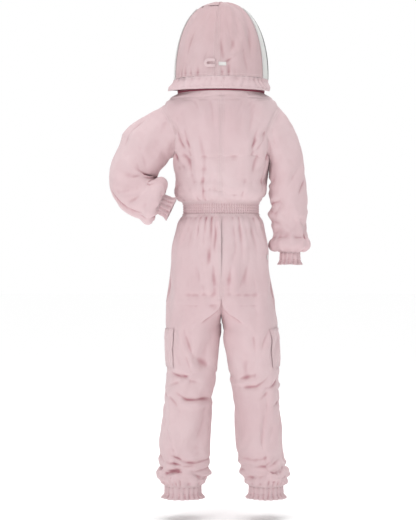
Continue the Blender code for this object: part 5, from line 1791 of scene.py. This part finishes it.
@dataclass
class Trimmings:
    """The chest pocket and its flap, the thigh pockets, the throat flap and the hip tag."""
    chest_x: tuple[float, float] = (0.036, 0.136)
    thigh_half_angle: float = 46.0
    flap_size: tuple[float, float] = (0.062, 0.038)
    flap_top: float = 0.030

    def dress(self, bodice: Bodice, trousers: Trousers, finishes: Finishes) -> None:
        """Add every sewn-on piece."""
        self.chest(bodice.panels["front", LEFT], finishes)
        for side in (LEFT, RIGHT):
            self.thigh(trousers, side, finishes)
        self.tag(trousers.seats[RIGHT], finishes)
        self.throat_flap(finishes)

    def chest(self, panel: Patch, finishes: Finishes) -> None:
        """Patch pocket and flap on the left front panel."""
        x = panel.points[panel.points.shape[0] // 2, :, 0]
        inside = np.flatnonzero((x > self.chest_x[0]) & (x < self.chest_x[1]))
        columns = slice(int(inside[0]), int(inside[-1]) + 1)
        low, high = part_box("chest_pocket")
        pocket = overlay(panel, "chest_pocket_patch", rows_between(panel, high.z, low.z), columns, 0.0026, 0.0030)
        sheet_of(pocket, finishes.cotton, "torso", ["chest_pocket"], panel.name, held="laid")
        low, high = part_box("chest_pocket_flap")
        flap = overlay(panel, "chest_flap_patch", rows_between(panel, high.z, low.z), columns, 0.0072, 0.0022)
        sheet_of(flap, finishes.cotton, "pocket_flap", ["chest_pocket_flap"], "chest_pocket_patch", held="laid")

    def thigh(self, trousers: Trousers, side: int, finishes: Finishes) -> None:
        """Patch pocket on the outer side of a thigh, laid on the leg's upper length."""
        word = WORD[side]
        leg = trousers.legs[side]
        per_degree = trousers.girth_columns * REFINE / 180
        first, last = (round((90 + way * self.thigh_half_angle) * per_degree) for way in (-1, 1))
        columns = slice(first, last + 1)
        low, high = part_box(f"thigh_pocket_{word}")
        patch = overlay(leg, f"thigh_pocket_patch_{word}", rows_between(leg, high.z, low.z), columns, 0.0028, 0.0034)
        bend = leg_bend(side, "torso", f"thigh_{word}", THIGH_BEND)
        sheet_of(patch, finishes.cotton, bend, [f"thigh_pocket_{word}"], f"leg_upper_{word}", held="laid")

    def tag(self, seat: Patch, finishes: Finishes) -> None:
        """Small blank tag on the right hip."""
        low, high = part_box("hip_tag")
        middle = np.array((low + high) / 2)
        far = np.linalg.norm(seat.points - middle, axis=-1)
        row, column = np.unravel_index(int(far.argmin()), far.shape)
        tall = max(2, round((high.z - low.z) / 0.0040 / 2))
        rows, columns = slice(row - tall, row + tall + 1), slice(column - 2, column + 3)
        patch = overlay(seat, "blank_hip_tag", rows, columns, 0.0024)
        sheet_of(patch, finishes.tag, "torso", ["hip_tag"], seat.name, held="laid", slot="white_cotton", wall=0.0007)

    def throat_flap(self, finishes: Finishes) -> None:
        """Flap over the meeting of the zips: a short turn out from its sewn edge, then a slightly curled face."""
        width, height = self.flap_size
        low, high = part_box("throat_flap")
        t = np.linspace(0, 1, 34)[None, :]
        v = np.linspace(0, 1, 22)[:, None]
        face, foot = low.y + 0.0008, high.y - 0.0004
        x = low.x + 0.0008 + (width - 0.0016) * step(0.0, 1.0, t) ** 0.9
        y = foot + (face - foot) * step(0.0, 0.12, t) + 0.0014 * step(0.75, 1.0, t) * np.sin(v * 3)
        y = y + 0.0005 * Noise(161)(t * 5, v * 4, 0) * step(0.1, 0.3, t)
        z = self.flap_top - 0.0004 - (height - 0.0008) * v + 0 * t
        points = xyz(x, y, z)
        axis = xyz(0, 0, z[:, 0])
        patch = Patch("throat_flap_patch", points, axis)
        sheet_of(patch, finishes.cotton, "throat_flap", ["throat_flap"], "bodice_front_panel_right", held="folded",
                 wall=0.0014)


# ---- Stage ------------------------------------------------------------------------------------------
@dataclass
class Stage:
    """Pale floor, soft white surroundings, lights, and the camera behind the suit."""
    floor_z: float = -1.43
    aim: tuple[float, float] = (0.045, -0.540)
    distance: float = 6.0
    lens: float = 120.4

    def build(self, finishes: Finishes) -> None:
        """Add the floor, the lights, the surroundings and the camera."""
        radius, a = np.linspace(0.0, 40.0, 12)[:, None], np.linspace(0, 2 * np.pi, 49)[None, :]
        points = xyz(radius * np.cos(a), radius * np.sin(a), self.floor_z)
        quads = grid_faces(*points.shape[:2], False)[:, [0, 3, 2, 1]]
        floor = add_mesh("pale_floor_disc", points, quads, finishes.floor)
        bpy.context.scene.view_settings.view_transform = "Standard"
        world = bpy.data.worlds.new("soft_room")
        world.use_nodes = True
        room = world.node_tree.nodes["Background"]
        room.inputs[0].default_value = (1.0, 1.0, 1.0, 1.0)
        seen = world.node_tree.nodes.new("ShaderNodeLightPath")
        level = world.node_tree.nodes.new("ShaderNodeMapRange")
        level.inputs["To Min"].default_value, level.inputs["To Max"].default_value = 0.43, 1.0
        world.node_tree.links.new(seen.outputs["Is Camera Ray"], level.inputs["Value"])
        world.node_tree.links.new(level.outputs["Result"], room.inputs[1])
        bpy.context.scene.world = world
        sun = bpy.data.lights.new("overhead", "SUN")
        sun.energy, sun.angle = 1.75, math.radians(50)
        shown("overhead", sun)
        for name, place, size, power in (("key", (2.6, 4.2, 2.0), 1.6, 62), ("fill", (-3.2, 3.6, 0.8), 3.0, 12),
                                         ("front", (-1.0, -4.0, 2.0), 3.0, 60)):
            light = bpy.data.lights.new(name, "AREA")
            light.shape = "DISK"
            light.size, light.energy = size, power
            lamp = shown(name, light)
            lamp.location = place
            aim = Vector((0, 0, -0.5)) - Vector(place)
            lamp.rotation_euler = aim.to_track_quat("-Z", "Y").to_euler()
        camera = bpy.data.cameras.new("camera")
        camera.lens = self.lens
        eye = shown("camera", camera)
        eye.location = (self.aim[0], self.distance, self.aim[1])
        eye.rotation_euler = (math.pi / 2, 0, math.pi)
        bpy.context.scene.camera = eye


def make_sleeves() -> dict[int, Sleeve]:
    """The left sleeve bent to the hip, and the right one hanging."""
    left = Sleeve(LEFT, (0.263, 0.0, -0.141), 31, 0.074, 95, 0.080, 0.066, 0.060, (0.088, 0.076), 0.060,
                  ((0.2389, 0, -0.1168), (0.2744, 0, -0.1342)), ((0.2857, 0.03, -0.2572), (0.268, 0.03, -0.318)))
    right = Sleeve(RIGHT, (-0.230, 0.0, -0.200), 4, 0.060, 4, 1.9, 0.120, -0.030, (0.058, 0.062), 0.090,
                   ((-0.2202, 0, -0.1651), (-0.2539, 0, -0.1904)), ((-0.237, 0, -0.298), (-0.237, 0, -0.372)))
    return {LEFT: left, RIGHT: right}


def dress_cuffs(sleeves: dict[int, Sleeve], finishes: Finishes) -> None:
    """Add the wrist cuffs at the sleeves' ends and the ankle cuffs at the legs' hems."""
    for side, sleeve in sleeves.items():
        word = WORD[side]
        centre, head = sleeve.centre(np.array([sleeve.length]))
        along = (math.sin(head[0]) * side, 0.0, -math.cos(head[0]))
        across = (math.cos(head[0]) * side, 0.0, math.sin(head[0]))
        cuff = Cuff(f"wrist_cuff_{word}", tuple(centre[0]), along, across, 0.0352, 0.0352, 0.0436, 13, 170 + side)
        cuff.dress(finishes, f"forearm_{word}", f"cuff_{word}", f"sleeve_lower_{word}")
        hem = LEGS[side]
        place = (side * hem.middles[-1], hem.depth_middles[-1], hem.heights[-1] + 0.0005)
        cuff = Cuff(f"ankle_cuff_{word}_gathered", place, (0, 0, -1), (1, 0, 0), hem.half_widths[-1] - 0.0030,
                    hem.half_depths[-1] - 0.0030, 0.0436, 21, 180 + side)
        cuff.dress(finishes, f"shin_{word}", f"ankle_cuff_{word}", f"leg_lower_{word}")


def main() -> None:
    """Build the suit from the bodice outwards, then the stage."""
    logging.basicConfig(level=logging.INFO, format="%(message)s")
    finishes = Finishes()
    bodice, trousers, sleeves = Bodice(), Trousers(), make_sleeves()
    coarse = bodice.build() + trousers.build()
    coarse += [sleeve.build(bodice.armhole(side)) for side, sleeve in sleeves.items()]
    for side in (LEFT, RIGHT):
        soften(coarse, bodice.armhole(side))
    settle(coarse)
    fine = bodice.refine() + trousers.refine()
    fine += [sleeve.refine(bodice.armhole(side)) for side, sleeve in sleeves.items()]
    set_normals(fine)
    LOG.info("folding %d patches", len(fine))
    bodice.fold()
    trousers.fold()
    for side, sleeve in sleeves.items():
        sleeve.fold()
        sleeve.patch.points[0] = bodice.armhole(side)
    set_normals(fine)
    LOG.info("dressing the bodice, trousers and sleeves")
    bodice.dress(finishes)
    trousers.dress(finishes)
    for sleeve in sleeves.values():
        sleeve.dress(finishes)
    LOG.info("bands and cuffs")
    Waistband().dress(finishes)
    Collar().dress(finishes)
    dress_cuffs(sleeves, finishes)
    LOG.info("hood")
    Hood().dress(finishes)
    LOG.info("zips and trimmings")
    Zips().dress(finishes)
    Trimmings().dress(bodice, trousers, finishes)
    Stage().build(finishes)


if __name__ == "__main__":
    main()
